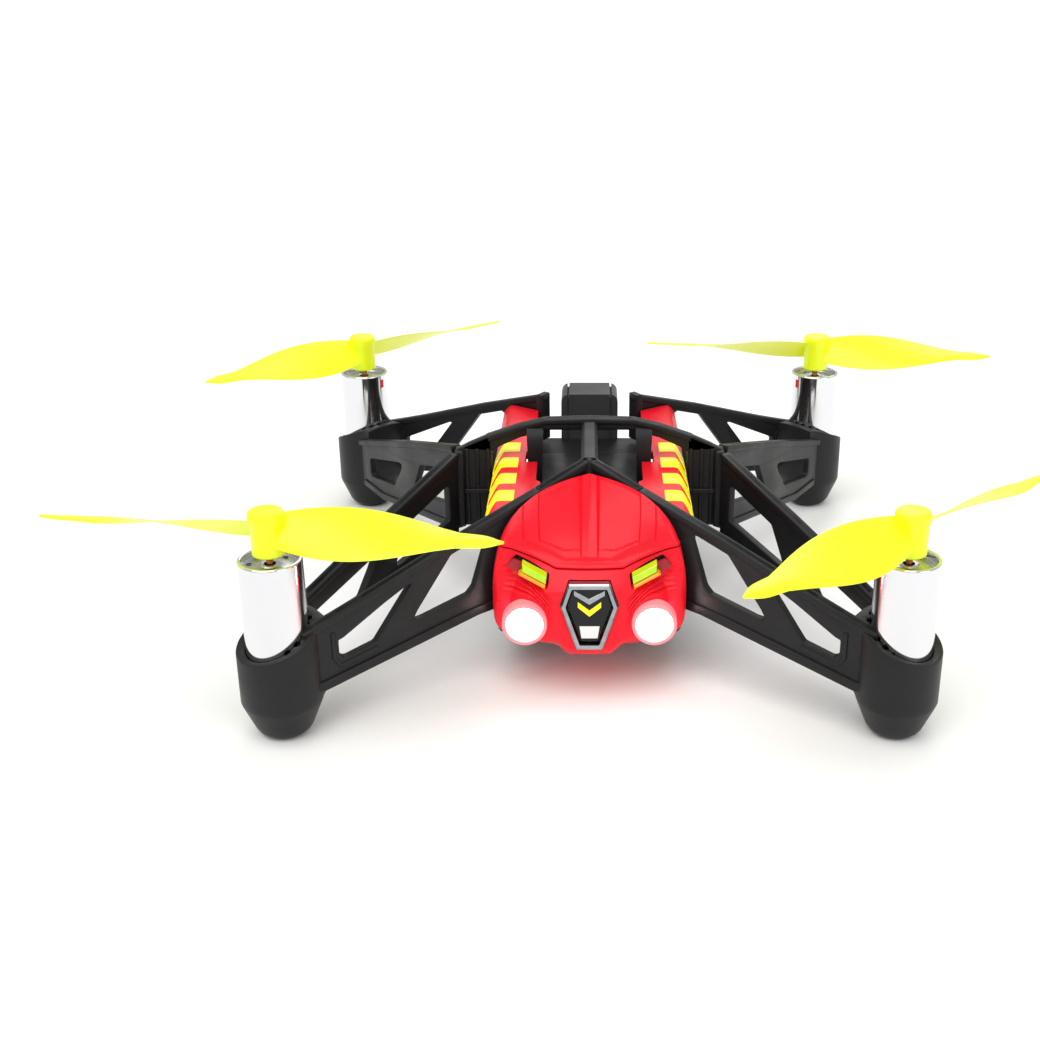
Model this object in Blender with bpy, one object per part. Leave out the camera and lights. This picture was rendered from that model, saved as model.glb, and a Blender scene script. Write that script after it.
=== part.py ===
"""Mini palm drone: a quadcopter with a black truss frame, a red nose and four small coreless motors.

Frame of reference: origin on the ground under the middle of the drone, +Z up, nose toward -Y,
+X to the right of a viewer who faces the nose. Dimensions below are in millimetres and are
turned into metres by MM when a mesh is made.
"""
import math

import bmesh
import bpy
from mathutils import Matrix, Vector

MM = 0.001
MERGE = 1e-6                     # edges shorter than this, in metres, are dissolved after a Boolean
GAP = 0.3                        # clearance between neighbouring pieces

# Driving dimensions
HUB = 44.1                       # motor axis to the centre planes, along X and along Y
PROP_RADIUS = 33.0
CAN_RADIUS = 4.5
CAN_BOTTOM, CAN_TOP = 7.4, 27.4
HUB_RADIUS = 2.4
HUB_BOTTOM, HUB_TOP = 28.0, 34.6
CUP_RADIUS = 5.9
CUP_LIP = 13.0                   # rim height on the outer side of a cup
CUP_SLOPE = 0.42                 # how fast the rim climbs toward the body
BORE_RADIUS = CAN_RADIUS + GAP
BLOCK_DEPTH, BLOCK_HALF = 6.0, 4.2   # flat block on the inner side of a cup
BLOCK_LOW, CUP_BLANK = 6.9, 21.0     # underside of that block, and the cup's height before its rim is cut
WALL = 1.8                       # thickness of the truss walls

# Truss walls, seen from above: start point and unit direction of the front left pair
OUTER_START, OUTER_DIR = Vector((-38.84, -44.7)), Vector((0.825, 0.565)).normalized()
MID_START, MID_DIR = Vector((-41.64, -33.3)), Vector((0.521, 0.854)).normalized()
OUTER_END = 37.4                 # where an arm's outer wall stops, along its own direction
APEX_S = 47.07                   # where the two front walls meet above the nose
LOW_END = 30.6                   # where the deep part of an outer wall stops at the body
DECK = 20.5                      # underside of the walls above the battery

# Body
TUB_HALF, TUB_WALL = 14.3, 1.3
TUB_BOTTOM, TUB_TOP = 5.8, 22.5
TUB_REAR, TUB_TAIL, TAIL_TOP = 21.8, 26.0, 20.0
FLOOR = 7.1                      # inside of the tub's bottom
PANEL_TOP, PANEL_HALF = 26.3, 15.9
ARCH_TOP, ARCH_HALF = 32.9, 22.4
BATTERY_HALF, BATTERY_BOTTOM, BATTERY_TOP = 11.0, 10.6, 19.8
BATTERY_FRONT, BATTERY_REAR = -13.0, 27.0
GRIP_HALF, GRIP_REAR, GRIP_TOP = 5.2, 34.0, 28.4
NOSE_RIM_SHIFT = 1.45            # nose and hood stop this far ahead of the front walls' middle
SHELL = 1.0
NOSE_CURVE, NOSE_LEAN = 0.012, 0.16   # how the nose's face curves back to the sides and leans back
CHIN_HALF, CHIN_RUN, CHIN_LIFT = 2.9, 2.3, 1.4   # the chin's half width, and how the nose rises beside it
HEADLIGHT_X, HEADLIGHT_Z, HEADLIGHT_RADIUS = 9.6, 12.6, 2.6

# Belly openings (x, y, radius): camera, two ultrasonic transducers and power button; then the screws
CAMERA_PORT, SONAR_PORTS, BUTTON_PORT = (0.0, -8.0, 3.0), ((-5.2, 4.0, 3.6), (5.2, 4.0, 3.6)), (0.0, 15.5, 2.3)
BELLY_PORTS = (CAMERA_PORT, *SONAR_PORTS, BUTTON_PORT)
SCREW_PLACES = ((-10.5, -14.0), (10.5, -14.0), (-10.5, 18.0), (10.5, 18.0))

# Propeller blades: azimuth of the first blade, height of the middle line, chord and pitch
BLADE_AZIMUTH = {"front_left": 172.0, "rear_right": 172.0, "front_right": 40.0, "rear_left": 40.0}
BLADE_Z, BLADE_ROOT = 31.6, 1.2
CHORD_ROOT, CHORD_SWELL, CHORD_TAPER = 5.2, 4.3, 2.6
PITCH_ROOT, PITCH_DROP = 46.0, 33.0

CORNERS = {"front_left": (1, 1), "front_right": (-1, 1), "rear_left": (1, -1), "rear_right": (-1, -1)}
SIDES = {"left": 1, "right": -1}

COLOURS = {
    "frame_black": ((0.022, 0.022, 0.024), 0.55, 0.0),
    "shell_red": ((0.83, 0.012, 0.03), 0.25, 0.0),
    "prop_yellow": ((0.82, 0.9, 0.02), 0.4, 0.0),
    "motor_chrome": ((0.85, 0.85, 0.87), 0.08, 1.0),
    "motor_plastic": ((0.05, 0.05, 0.05), 0.5, 0.0),
    "magnet_grey": ((0.3, 0.3, 0.32), 0.35, 1.0),
    "copper": ((0.72, 0.35, 0.18), 0.35, 1.0),
    "battery_grey": ((0.07, 0.07, 0.075), 0.5, 0.0),
    "cell_foil": ((0.55, 0.56, 0.58), 0.35, 1.0),
    "board_green": ((0.02, 0.14, 0.06), 0.5, 0.0),
    "gold": ((0.9, 0.62, 0.2), 0.3, 1.0),
    "lamp_white": ((0.95, 0.95, 0.98), 0.15, 0.0),
    "lens_lime": ((0.62, 0.9, 0.03), 0.15, 0.0),
    "badge_steel": ((0.35, 0.36, 0.38), 0.25, 1.0),
    "badge_black": ((0.015, 0.015, 0.017), 0.3, 0.0),
    "steel": ((0.6, 0.6, 0.62), 0.3, 1.0),
    "camera_glass": ((0.02, 0.02, 0.04), 0.05, 0.0),
}


def clear_scene():
    for old in list(bpy.data.objects):
        bpy.data.objects.remove(old, do_unlink=True)


def material(name):
    found = bpy.data.materials.get(name)
    if found:
        return found
    colour, roughness, metallic = COLOURS[name]
    made = bpy.data.materials.new(name)
    made.use_nodes = True
    shader = made.node_tree.nodes["Principled BSDF"]
    shader.inputs["Base Color"].default_value = (*colour, 1.0)
    shader.inputs["Roughness"].default_value = roughness
    shader.inputs["Metallic"].default_value = metallic
    return made


def to_object(bm, name):
    """Turn a bmesh in millimetres into an object in metres with its faces pointing out."""
    bmesh.ops.recalc_face_normals(bm, faces=bm.faces)
    bmesh.ops.scale(bm, vec=(MM, MM, MM), verts=bm.verts)
    mesh = bpy.data.meshes.new(name)
    bm.to_mesh(mesh)
    bm.free()
    made = bpy.data.objects.new(name, mesh)
    bpy.context.scene.collection.objects.link(made)
    return made


def skin(loops):
    """A bmesh of quads between rings with equal numbers of points, and its rings of vertices."""
    bm = bmesh.new()
    made = [[bm.verts.new(p) for p in loop] for loop in loops]
    count = len(loops[0])
    for low, high in zip(made, made[1:]):
        for i in range(count):
            j = (i + 1) % count
            bm.faces.new((low[i], low[j], high[j], high[i]))
    return bm, made


def rings(name, loops):
    """Skin rings and cap both ends with flat faces."""
    bm, made = skin(loops)
    bm.faces.new(made[0])
    bm.faces.new(made[-1])
    return to_object(bm, name)


def prism(name, outline, low, high):
    """Extrude an outline in X and Y between two heights."""
    return rings(name, [[(x, y, z) for x, y in outline] for z in (low, high)])


def block(name, low, high):
    (x0, y0, z0), (x1, y1, z1) = low, high
    return prism(name, [(x0, y0), (x1, y0), (x1, y1), (x0, y1)], z0, z1)


def extrude_y(name, outline, y0, y1):
    """Extrude an outline in X and Z between two places along Y."""
    return rings(name, [[(x, y, z) for x, z in outline] for y in (y0, y1)])


def turned(name, profile, centre=(0.0, 0.0), segments=32):
    """Turn a profile of (radius, z) points round a vertical axis; radius 0 ends become points."""
    bm = bmesh.new()
    cx, cy = centre
    loops = []
    for radius, z in profile:
        if radius == 0:
            loops.append([bm.verts.new((cx, cy, z))])
            continue
        angles = [2 * math.pi * i / segments for i in range(segments)]
        loops.append([bm.verts.new((cx + radius * math.cos(a), cy + radius * math.sin(a), z)) for a in angles])
    closed = list(zip(loops, loops[1:]))
    if len(loops[0]) > 1:
        closed.append((loops[-1], loops[0]))
    for first, second in closed:
        for i in range(segments):
            j = (i + 1) % segments
            corners = []
            for corner in (first[i % len(first)], first[j % len(first)],
                           second[j % len(second)], second[i % len(second)]):
                if corner not in corners:
                    corners.append(corner)
            bm.faces.new(corners)
    return to_object(bm, name)


def turned_along_y(name, profile, centre, segments=24):
    """Turn a profile of (radius, y) points round an axis along Y through centre (x, z)."""
    made = turned(name, [(radius, -y) for radius, y in profile], segments=segments)
    made.data.transform(Matrix.Rotation(math.pi / 2, 4, "X"))
    made.data.transform(Matrix.Translation((centre[0] * MM, 0.0, centre[1] * MM)))
    return made


def combine(base, tools, operation):
    """Apply a Boolean of each tool to base, and remove the tools."""
    for tool in tools:
        step = base.modifiers.new(operation.lower(), "BOOLEAN")
        step.operation = operation
        step.solver = "EXACT"
        step.object = tool
        evaluated = base.evaluated_get(bpy.context.evaluated_depsgraph_get())
        result = bpy.data.meshes.new_from_object(evaluated)
        bm = bmesh.new()
        bm.from_mesh(result)
        bmesh.ops.dissolve_degenerate(bm, dist=MERGE, edges=bm.edges)
        bm.to_mesh(result)
        bm.free()
        base.modifiers.clear()
        base.data = result
        bpy.data.objects.remove(tool, do_unlink=True)
    return base


def add(base, *tools):
    return combine(base, tools, "UNION")


def cut(base, *tools):
    return combine(base, tools, "DIFFERENCE")


def finish(made, name, material_name, smooth=30.0):
    """Name the node, give it its own material slot, and shade its curved stretches smooth."""
    made.name = name
    made.data.name = name
    made.data.materials.clear()
    made.data.materials.append(material(material_name))
    made.data.shade_smooth()
    made.data.set_sharp_from_angle(angle=math.radians(smooth))
    return made


def move_origin(made, point):
    """Put an object's origin on a point given in millimetres, without moving its shape."""
    shift = Vector(point) * MM
    made.data.transform(Matrix.Translation(-shift))
    made.location = shift
    return made


# ---------------------------------------------------------------- truss walls

def wall(name, start, direction, outline, holes, corner, thickness=WALL):
    """A vertical plate along a plan direction, from (s, z) outlines; corner mirrors it in X and Y."""
    mirror_x, mirror_y = corner
    side = Vector((direction.y, -direction.x))

    def slab(points, half, label):
        loops = []
        for offset in (-half, half):
            loop = []
            for s, z in points:
                plan = start + direction * s + side * offset
                loop.append((plan.x * mirror_x, plan.y * mirror_y, z))
            loops.append(loop)
        return rings(label, loops)

    plate = slab(outline, thickness / 2, name)
    return cut(plate, *[slab(hole, thickness, name + "_hole") for hole in holes])


def outer_wall(corner):
    outline = [(-3.0, 7.0), (-3.0, 16.2), (3.5, 18.3), (7.8, 19.7), (22.6, 24.8), (OUTER_END, 29.4),
               (OUTER_END, DECK), (LOW_END + 1.2, DECK), (LOW_END, 12.2), (26.2, 11.8), (1.0, 6.9)]
    holes = [[(3.5, 14.3), (3.5, 11.8), (4.5, 11.1), (9.2, 12.1), (15.4, 19.8), (14.6, 19.6)],
             [(14.75, 13.4), (24.8, 15.5), (25.8, 16.5), (28.4, 23.8), (27.7, 24.4), (22.1, 22.6)]]
    return wall("outer_wall", OUTER_START, OUTER_DIR, outline, holes, corner)


def mid_wall(corner):
    end = 36.4
    outline = [(-5.0, 6.9), (-5.0, 15.6), (0.0, 16.95), (16.7, 21.9), (22.2, 23.4), (end, 27.3),
               (end, 12.0), (6.0, 6.9)]
    holes = [[(0.0, 13.3), (0.0, 9.7), (11.2, 11.6), (15.9, 17.4)],
             [(19.3, 13.0), (23.2, 19.4), (34.4, 22.5), (34.4, 16.0)]]
    return wall("mid_wall", MID_START, MID_DIR, outline, holes, corner)


def hub_of(corner):
    return (-HUB * corner[0], -HUB * corner[1])


def cup(corner):
    """The motor cup with its rounded foot, its flat inner side and its slanting rim."""
    hub_x, hub_y = hub_of(corner)
    inward = Vector((corner[0], corner[1])).normalized()
    across = Vector((-inward.y, inward.x))
    profile = [(0.0, 0.0), (2.2, 0.0), (3.3, 0.4), (4.15, 1.35), (CUP_RADIUS, 5.6), (CUP_RADIUS, CUP_BLANK),
               (0.0, CUP_BLANK)]
    body = turned("cup", profile, (hub_x, hub_y), 40)
    corners = [(0, -BLOCK_HALF), (BLOCK_DEPTH, -BLOCK_HALF), (BLOCK_DEPTH, BLOCK_HALF), (0, BLOCK_HALF)]
    plan = [Vector((hub_x, hub_y)) + inward * d + across * w for d, w in corners]
    add(body, prism("inner_side", [tuple(p) for p in plan], BLOCK_LOW, CUP_BLANK))
    # everything above the slanting rim plane
    reach = 9.0
    loops = []
    for lift in (0.0, 14.0):
        loop = []
        for d, w in ((-reach, -reach), (reach, -reach), (reach, reach), (-reach, reach)):
            plan = Vector((hub_x, hub_y)) + inward * d + across * w
            loop.append((plan.x, plan.y, CUP_LIP + CUP_SLOPE * (d + CUP_RADIUS) + lift))
        loops.append(loop)
    return cut(body, rings("above_rim", loops))


def arm(name, corner):
    body = cup(corner)
    add(body, outer_wall(corner), mid_wall(corner))
    bore = turned("bore", [(0.0, CAN_BOTTOM - GAP), (BORE_RADIUS, CAN_BOTTOM - GAP), (BORE_RADIUS, 30.0), (0.0, 30.0)],
                  hub_of(corner), 40)
    cut(body, bore)
    return finish(body, "arm_" + name, "frame_black")


# ---------------------------------------------------------------- centre frame

def bulkhead(side):
    """Half of the front bulkhead, whose top edge rises to the apex above the nose."""
    low = 8.2
    outline = [(LOW_END + 1.0, low), (LOW_END + 1.0, DECK - GAP - 2.2), (LOW_END + 1.5, DECK - GAP),
               (OUTER_END + GAP, DECK - GAP), (OUTER_END + GAP, 29.5), (APEX_S, 32.5), (APEX_S, low)]
    window = [(36.0, 11.5), (44.5, 11.5), (44.5, 18.0), (36.0, 18.0)]
    return wall("bulkhead", OUTER_START, OUTER_DIR, outline, [window], (side, 1))


def centre_frame():
    """Front bulkhead, spine bar, transverse arch with its side plates, and the posts at their ends."""
    half_arch = [(ARCH_HALF, 27.4), (17.0, 29.8), (11.5, 31.7), (7.4, 32.7), (0.0, ARCH_TOP)]
    half_under = [(6.8, 30.8), (11.5, 29.5), (15.0, 27.9), (16.3, 26.8), (16.3, 13.9), (ARCH_HALF, 13.7)]
    outline = [(-x, z) for x, z in half_arch] + half_arch[-2::-1] + half_under[::-1]
    outline += [(-x, z) for x, z in half_under]
    body = extrude_y("arch", outline, -1.1, 1.1)
    add(body, bulkhead(1), bulkhead(-1))
    joint = prism("apex", [(-1.0, -19.2), (1.0, -19.2), (1.0, -17.9), (-1.0, -17.9)], 8.2, 32.3)
    add(body, joint)
    spine = [(-1.3, 29.6), (1.3, 29.6), (1.3, 32.0), (0.8, 32.5), (-0.8, 32.5), (-1.3, 32.0)]
    add(body, extrude_y("spine", spine, -18.0, 0.5))
    for side in SIDES.values():
        post = [(side * x, y) for x, y in ((20.9, -1.7), (ARCH_HALF, -1.7), (ARCH_HALF, 1.7), (20.9, 1.7))]
        add(body, prism("post", post, 13.7, 27.4))
        gusset = [(side * x, y) for x, y in ((7.9, -2.2), (9.8, -1.4), (9.8, 0.6), (7.9, 0.6))]
        add(body, prism("gusset", gusset, 25.2, 31.0))
    return finish(body, "centre_frame", "frame_black")


# ---------------------------------------------------------------- body shells

def front_plane(x, shift):
    """Y of the front walls' middle plane at x, moved forward by shift."""
    start, direction = OUTER_START, OUTER_DIR
    return start.y + (-abs(x) - start.x) * direction.y / direction.x - shift / direction.x


def nose_ring(half, low, high, y, blend, steps=48):
    """One closed section of the nose: boxy below, domed above, leaning into the walls' V as blend nears 1."""
    middle = 15.0
    loop = []
    for i in range(steps):
        angle = 2 * math.pi * i / steps
        c, s = math.cos(angle), math.sin(angle)
        power = 2 / 2.7 if s > 0 else 2 / 4.0
        reach = high - middle if s > 0 else middle - low
        x = half * math.copysign(abs(c) ** power, c)
        z = middle + reach * math.copysign(abs(s) ** power, s)
        if s < 0:
            z += CHIN_LIFT * min(1.0, max(0.0, (abs(x) - CHIN_HALF) / CHIN_RUN)) * s * s * (1 - blend)
        y_here = (1 - blend) * y + blend * front_plane(x, NOSE_RIM_SHIFT)
        curve = NOSE_CURVE * x * x + NOSE_LEAN * (z - 8.0)
        loop.append((x, y_here + curve * (1 - blend) ** 2, z))
    return loop


# half width, bottom, top, y, blend toward the front walls, from the face of the nose to its rear rim
NOSE_SECTIONS = [(9.6, 8.9, 17.6, -36.3, 0.0), (11.3, 8.0, 18.7, -35.6, 0.0), (12.5, 7.3, 19.8, -34.6, 0.0),
                 (13.4, 6.9, 21.3, -34.2, 0.12), (14.1, 6.7, 24.3, -34.2, 0.4), (14.5, 6.6, 27.8, -34.2, 0.72),
                 (14.4, 6.6, 30.5, -34.2, 1.0)]


def cap_with_ridge(bm, ring, centre_y):
    """Close a left-right symmetric ring through a column of points on the centre plane."""
    count = len(ring)
    top, bottom = count // 4, -count // 4
    column = {top: ring[top], bottom: ring[bottom % count]}
    for i in range(top - 1, bottom, -1):
        z = ring[i % count].co.z
        column[i] = bm.verts.new((0.0, centre_y(z), z))
    for i in range(top, bottom, -1):
        for upper, lower in ((i, i - 1), (count // 2 - i, count // 2 - i + 1)):
            corners = []
            for corner in (ring[upper % count], column[i], column[i - 1], ring[lower % count]):
                if corner not in corners:
                    corners.append(corner)
            bm.faces.new(corners)


def nose_body(inset):
    """The solid of hood and nose together, or, with an inset, the room inside it."""
    loops = []
    for half, low, high, y, blend in NOSE_SECTIONS:
        loops.append(nose_ring(half - inset, low + inset, high - inset, y + inset * (1 - blend), blend))
    back = front_plane(0.0, NOSE_RIM_SHIFT)
    if inset:
        loops.append([(x, y + 3.0, z) for x, y, z in loops[-1]])
        back += 3.0
    bm, made = skin(loops)
    front = NOSE_SECTIONS[0][3] + inset
    cap_with_ridge(bm, made[0], lambda z: front + NOSE_LEAN * (z - 8.0))
    cap_with_ridge(bm, made[-1], lambda z: back)
    return to_object(bm, "nose_body")


def seam(x):
    """Height of the seam between hood and nose at x: a brow that climbs to the sides."""
    points = [(0.0, 20.1), (5.0, 20.1), (11.8, 22.5), (15.5, 23.2)]
    for (x0, z0), (x1, z1) in zip(points, points[1:]):
        if abs(x) <= x1:
            return z0 + (abs(x) - x0) / (x1 - x0) * (z1 - z0)
    return points[-1][1]


def seam_cutter(above):
    """Everything on one side of the seam, kept half a gap away from it."""
    xs = (-15.5, -11.8, -5.0, 5.0, 11.8, 15.5)
    edge = [(x, seam(x) - GAP / 2 if above else seam(x) + GAP / 2) for x in xs]
    far = 45.0 if above else -45.0
    return extrude_y("seam_cutter", edge + [(15.5, far), (-15.5, far)], -60.0, 0.0)


def face_plate(name, outline, depth, front):
    """A plate that lies along the nose's leaning face; outline in X and Z."""
    loops = []
    for y in (front, front + depth):
        loops.append([(x, y + NOSE_LEAN * (z - 8.0), z) for x, z in outline])
    return rings(name, loops)


def badge_outline(grow):
    """The long hexagon of the badge in the nose's face."""
    right = [(3.05 + 0.6 * grow, 18.9 + grow), (4.3 + grow, 15.4), (1.9 + 0.6 * grow, 8.9 - grow)]
    return right + [(-x, z) for x, z in right[::-1]]


def mirrored(points, side):
    return [(side * x, z) for x, z in points]


EYE_SLOT = [(-5.9, 19.5), (-6.2, 17.5), (-11.2, 20.1), (-11.8, 20.8), (-10.9, 21.7)]
EYE_LENS = [(-6.5, 19.2), (-6.6, 18.3), (-9.9, 20.0), (-9.9, 21.1)]


def hood_shell():
    shell = cut(nose_body(0.0), nose_body(SHELL), seam_cutter(False))
    return finish(shell, "hood_shell", "shell_red")


def nose_shell():
    cutters = [nose_body(SHELL), seam_cutter(True), extrude_y("badge_cut", badge_outline(GAP), -45.0, -32.0)]
    radius = HEADLIGHT_RADIUS + GAP
    for side in SIDES.values():
        cutters.append(turned_along_y("light_cut", [(0.0, -45.0), (radius, -45.0), (radius, -30.0), (0.0, -30.0)],
                                      (side * HEADLIGHT_X, HEADLIGHT_Z)))
        cutters.append(extrude_y("eye_cut", mirrored(EYE_SLOT, side), -45.0, -26.0))
    return finish(cut(nose_body(0.0), *cutters), "nose_shell", "shell_red")


def nose_details():
    """Badge, headlights and eye lenses, with the small board that carries the lamps."""
    bezel = face_plate("bezel", badge_outline(0.0), 1.9, -36.6)
    cut(bezel, face_plate("bezel_hole", badge_outline(-0.75), 4.0, -38.0))
    finish(bezel, "badge_bezel", "badge_steel")
    finish(face_plate("insert", badge_outline(-0.75 - GAP), 1.0, -36.0), "badge_insert", "badge_black")
    r = HEADLIGHT_RADIUS
    for name, side in SIDES.items():
        centre = (-side * HEADLIGHT_X, HEADLIGHT_Z)
        lens = turned_along_y("lens", [(0.0, -35.7), (1.0, -35.6), (1.8, -35.3), (r, -34.7), (r, -33.2), (0.0, -33.2)],
                              centre)
        finish(lens, "headlight_lens_" + name, "lamp_white")
        lamp = turned_along_y("lamp", [(0.0, -32.9), (1.7, -32.9), (1.7, -31.6), (0.0, -31.6)], centre, 16)
        finish(lamp, "headlight_led_" + name, "gold")
        eye = extrude_y("eye", mirrored(EYE_LENS, side), -33.6, -32.2)
        finish(eye, "eye_lens_" + name, "lens_lime")
    board = extrude_y("board", [(-10.6, 10.6), (10.6, 10.6), (10.6, 14.4), (-10.6, 14.4)], -31.3, -30.3)
    finish(board, "lamp_board", "board_green")


def side_panel(name, side):
    """A red side panel: a top plate with a stepped inner edge and an outer flange."""
    outer, low = PANEL_HALF, 20.9
    section = [(7.8, PANEL_TOP), (14.4, PANEL_TOP), (outer, PANEL_TOP - 2.0), (outer, low), (14.7, low),
               (14.7, 23.4), (13.8, 24.9), (7.8, 24.9)]
    panel = extrude_y("panel", [(side * x, z) for x, z in section], -30.0, 29.0)
    clearance = WALL / 2 + GAP
    front = [(x, front_plane(x, -clearance)) for x in (20.0, 7.8)]
    rear = [(x, -front_plane(x, -clearance)) for x in (9.3, 20.0)]
    inner = [(7.8, -12.5), (8.6, -12.0), (8.6, -3.5), (10.6, -3.5), (10.6, 1.4), (9.3, 1.4)]
    outline = [(side * x, y) for x, y in front + inner + rear]
    combine(panel, [prism("panel_plan", outline, 15.0, 30.0)], "INTERSECT")
    return finish(panel, "side_panel_" + name, "shell_red")


def tub_outline(half, shift, tail):
    """Plan of the tub: its front follows the V of the front walls; tail is its straight rear end."""
    side_front, middle_front = front_plane(half, shift), front_plane(0.0, shift)
    return [(-half, tail), (-half, side_front), (0.0, middle_front), (half, side_front), (half, tail)]


def tub():
    """The black body tub, open on top and at the rear, where the battery slides in."""
    shift = -(WALL / 2 + GAP)
    body = prism("tub", tub_outline(TUB_HALF, shift, TUB_REAR), TUB_BOTTOM, TUB_TOP)
    add(body, prism("tail", tub_outline(TUB_HALF, shift - 4.0, TUB_TAIL), TUB_BOTTOM, TAIL_TOP))
    inner = TUB_HALF - TUB_WALL
    cut(body, prism("inside", tub_outline(inner, shift - TUB_WALL, 40.0), FLOOR, 40.0))
    cutters = [turned("port", [(0.0, 4.0), (radius, 4.0), (radius, 9.0), (0.0, 9.0)], (x, y), 24)
               for x, y, radius in BELLY_PORTS]
    for x, y in SCREW_PLACES:
        cutters.append(turned("screw_hole", [(0.0, 4.0), (1.4, 4.0), (1.4, 6.4), (0.8, 6.4), (0.8, 9.0), (0.0, 9.0)],
                              (x, y), 16))
    front_window = [(-6.0, 12.0), (6.0, 12.0), (6.0, 18.0), (-6.0, 18.0)]
    cutters.append(extrude_y("front_window", front_window, -26.0, -10.0))
    cut(body, *cutters)
    return finish(body, "body_tub", "frame_black")


def belly_parts():
    """What looks or works through the belly: camera, ultrasonic pair, power button and screws."""
    x, y, radius = CAMERA_PORT
    r = radius - GAP
    barrel = [(0.0, 6.3), (1.1, 6.3), (1.5, 5.9), (r, 5.9), (r, 8.0), (0.0, 8.0)]
    finish(turned("camera", barrel, (x, y), 24), "camera_module", "camera_glass")
    for name, (x, y, radius) in zip(SIDES, SONAR_PORTS):
        r = radius - GAP
        can = [(0.0, 6.2), (r - 0.6, 6.2), (r - 0.6, 5.8), (r, 5.8), (r, 8.0), (0.0, 8.0)]
        finish(turned("sonar", can, (x, y), 24), "sonar_" + name, "steel")
    x, y, radius = BUTTON_PORT
    r = radius - GAP
    cap = [(0.0, 5.2), (r - 0.4, 5.2), (r, 5.5), (r, 7.0), (0.0, 7.0)]
    button = finish(turned("button", cap, (x, y), 24), "power_button", "battery_grey")
    move_origin(button, (x, y, 5.2))
    for number, (x, y) in enumerate(SCREW_PLACES, 1):
        screw = [(0.0, 5.8), (1.1, 5.8), (1.1, 6.1), (0.5, 6.1), (0.5, 8.0), (0.0, 8.0)]
        finish(turned("screw", screw, (x, y), 12), "belly_screw_%d" % number, "steel")


def electronics():
    """Main board with its socket at the tail, and the contacts that meet the battery's front end."""
    board = block("board", (-12.2, -14.0, 8.3), (12.2, 21.0, 9.1))
    add(board, block("chip", (-4.0, -2.0, 9.0), (4.0, 6.0, 9.9)), block("can", (-10.0, 9.0, 9.0), (-3.0, 16.0, 9.9)),
        block("coil", (6.0, -10.0, 9.0), (10.0, -6.0, 9.8)))
    finish(board, "main_board", "board_green")
    socket = block("socket", (-3.75, 21.4, 7.4), (3.75, 26.0, 9.9))
    cut(socket, block("mouth", (-3.2, 22.0, 8.0), (3.2, 30.0, 9.4)))
    finish(socket, "usb_socket", "steel")
    contacts = block("contacts", (-4.5, -14.8, 11.0), (4.5, BATTERY_FRONT - GAP, 16.0))
    finish(contacts, "battery_contacts", "gold")


def battery():
    """The battery slides out to the rear by its grip block; its cell sits in a pocket underneath."""
    front, rear = BATTERY_FRONT, BATTERY_REAR
    case = block("case", (-BATTERY_HALF, front, BATTERY_BOTTOM), (BATTERY_HALF, rear, BATTERY_TOP))
    corner = 1.6
    grip = [(-GRIP_HALF, BATTERY_BOTTOM), (GRIP_HALF, BATTERY_BOTTOM), (GRIP_HALF, GRIP_TOP - corner),
            (GRIP_HALF - 0.45, GRIP_TOP - 0.45), (GRIP_HALF - corner, GRIP_TOP), (corner - GRIP_HALF, GRIP_TOP),
            (0.45 - GRIP_HALF, GRIP_TOP - 0.45), (-GRIP_HALF, GRIP_TOP - corner)]
    add(case, extrude_y("grip", grip, rear - 0.5, GRIP_REAR))
    pocket = block("pocket", (-BATTERY_HALF + 1, front + 1, 5.0), (BATTERY_HALF - 1, rear - 1.5, BATTERY_TOP - 1))
    cut(case, pocket)
    finish(case, "battery_case", "battery_grey")
    cell = block("cell", (-BATTERY_HALF + 1 + GAP, front + 1 + GAP, BATTERY_BOTTOM + 0.1),
                 (BATTERY_HALF - 1 - GAP, rear - 1.5 - GAP, BATTERY_TOP - 1 - GAP))
    finish(cell, "battery_cell", "cell_foil")


# ---------------------------------------------------------------- motors and propellers

def motor(name, corner):
    hub = hub_of(corner)
    r, low, high = CAN_RADIUS, CAN_BOTTOM, CAN_TOP
    can = [(r - 0.35, low), (r, low), (r, high - 0.25), (r - 0.25, high), (r - 0.6, high), (r - 0.6, high - 0.5),
           (1.0, high - 0.5), (1.0, high - 1.0), (r - 0.35, high - 1.0)]
    finish(turned("can", can, hub, 40), "motor_can_" + name, "motor_chrome")
    end = r - 0.35 - GAP
    cap = [(0.0, low + 0.1), (end, low + 0.1), (end, low + 1.5), (0.0, low + 1.5)]
    finish(turned("cap", cap, hub, 24), "brush_cap_" + name, "motor_plastic")
    magnet = [(0.9, low + 5.2), (2.5, low + 5.2), (2.5, high - 1.3), (0.9, high - 1.3)]
    finish(turned("magnet", magnet, hub, 24), "magnet_" + name, "magnet_grey")
    base = low + 2.0
    rotor = [(0.0, base), (3.5, base), (3.5, high - 2.4), (2.9, high - 2.4), (2.9, base + 2.4), (0.5, base + 2.4),
             (0.5, HUB_TOP - 2.4), (0.0, HUB_TOP - 2.4)]
    made = finish(turned("rotor", rotor, hub, 24), "rotor_" + name, "copper")
    return move_origin(made, (*hub, base))


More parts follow.
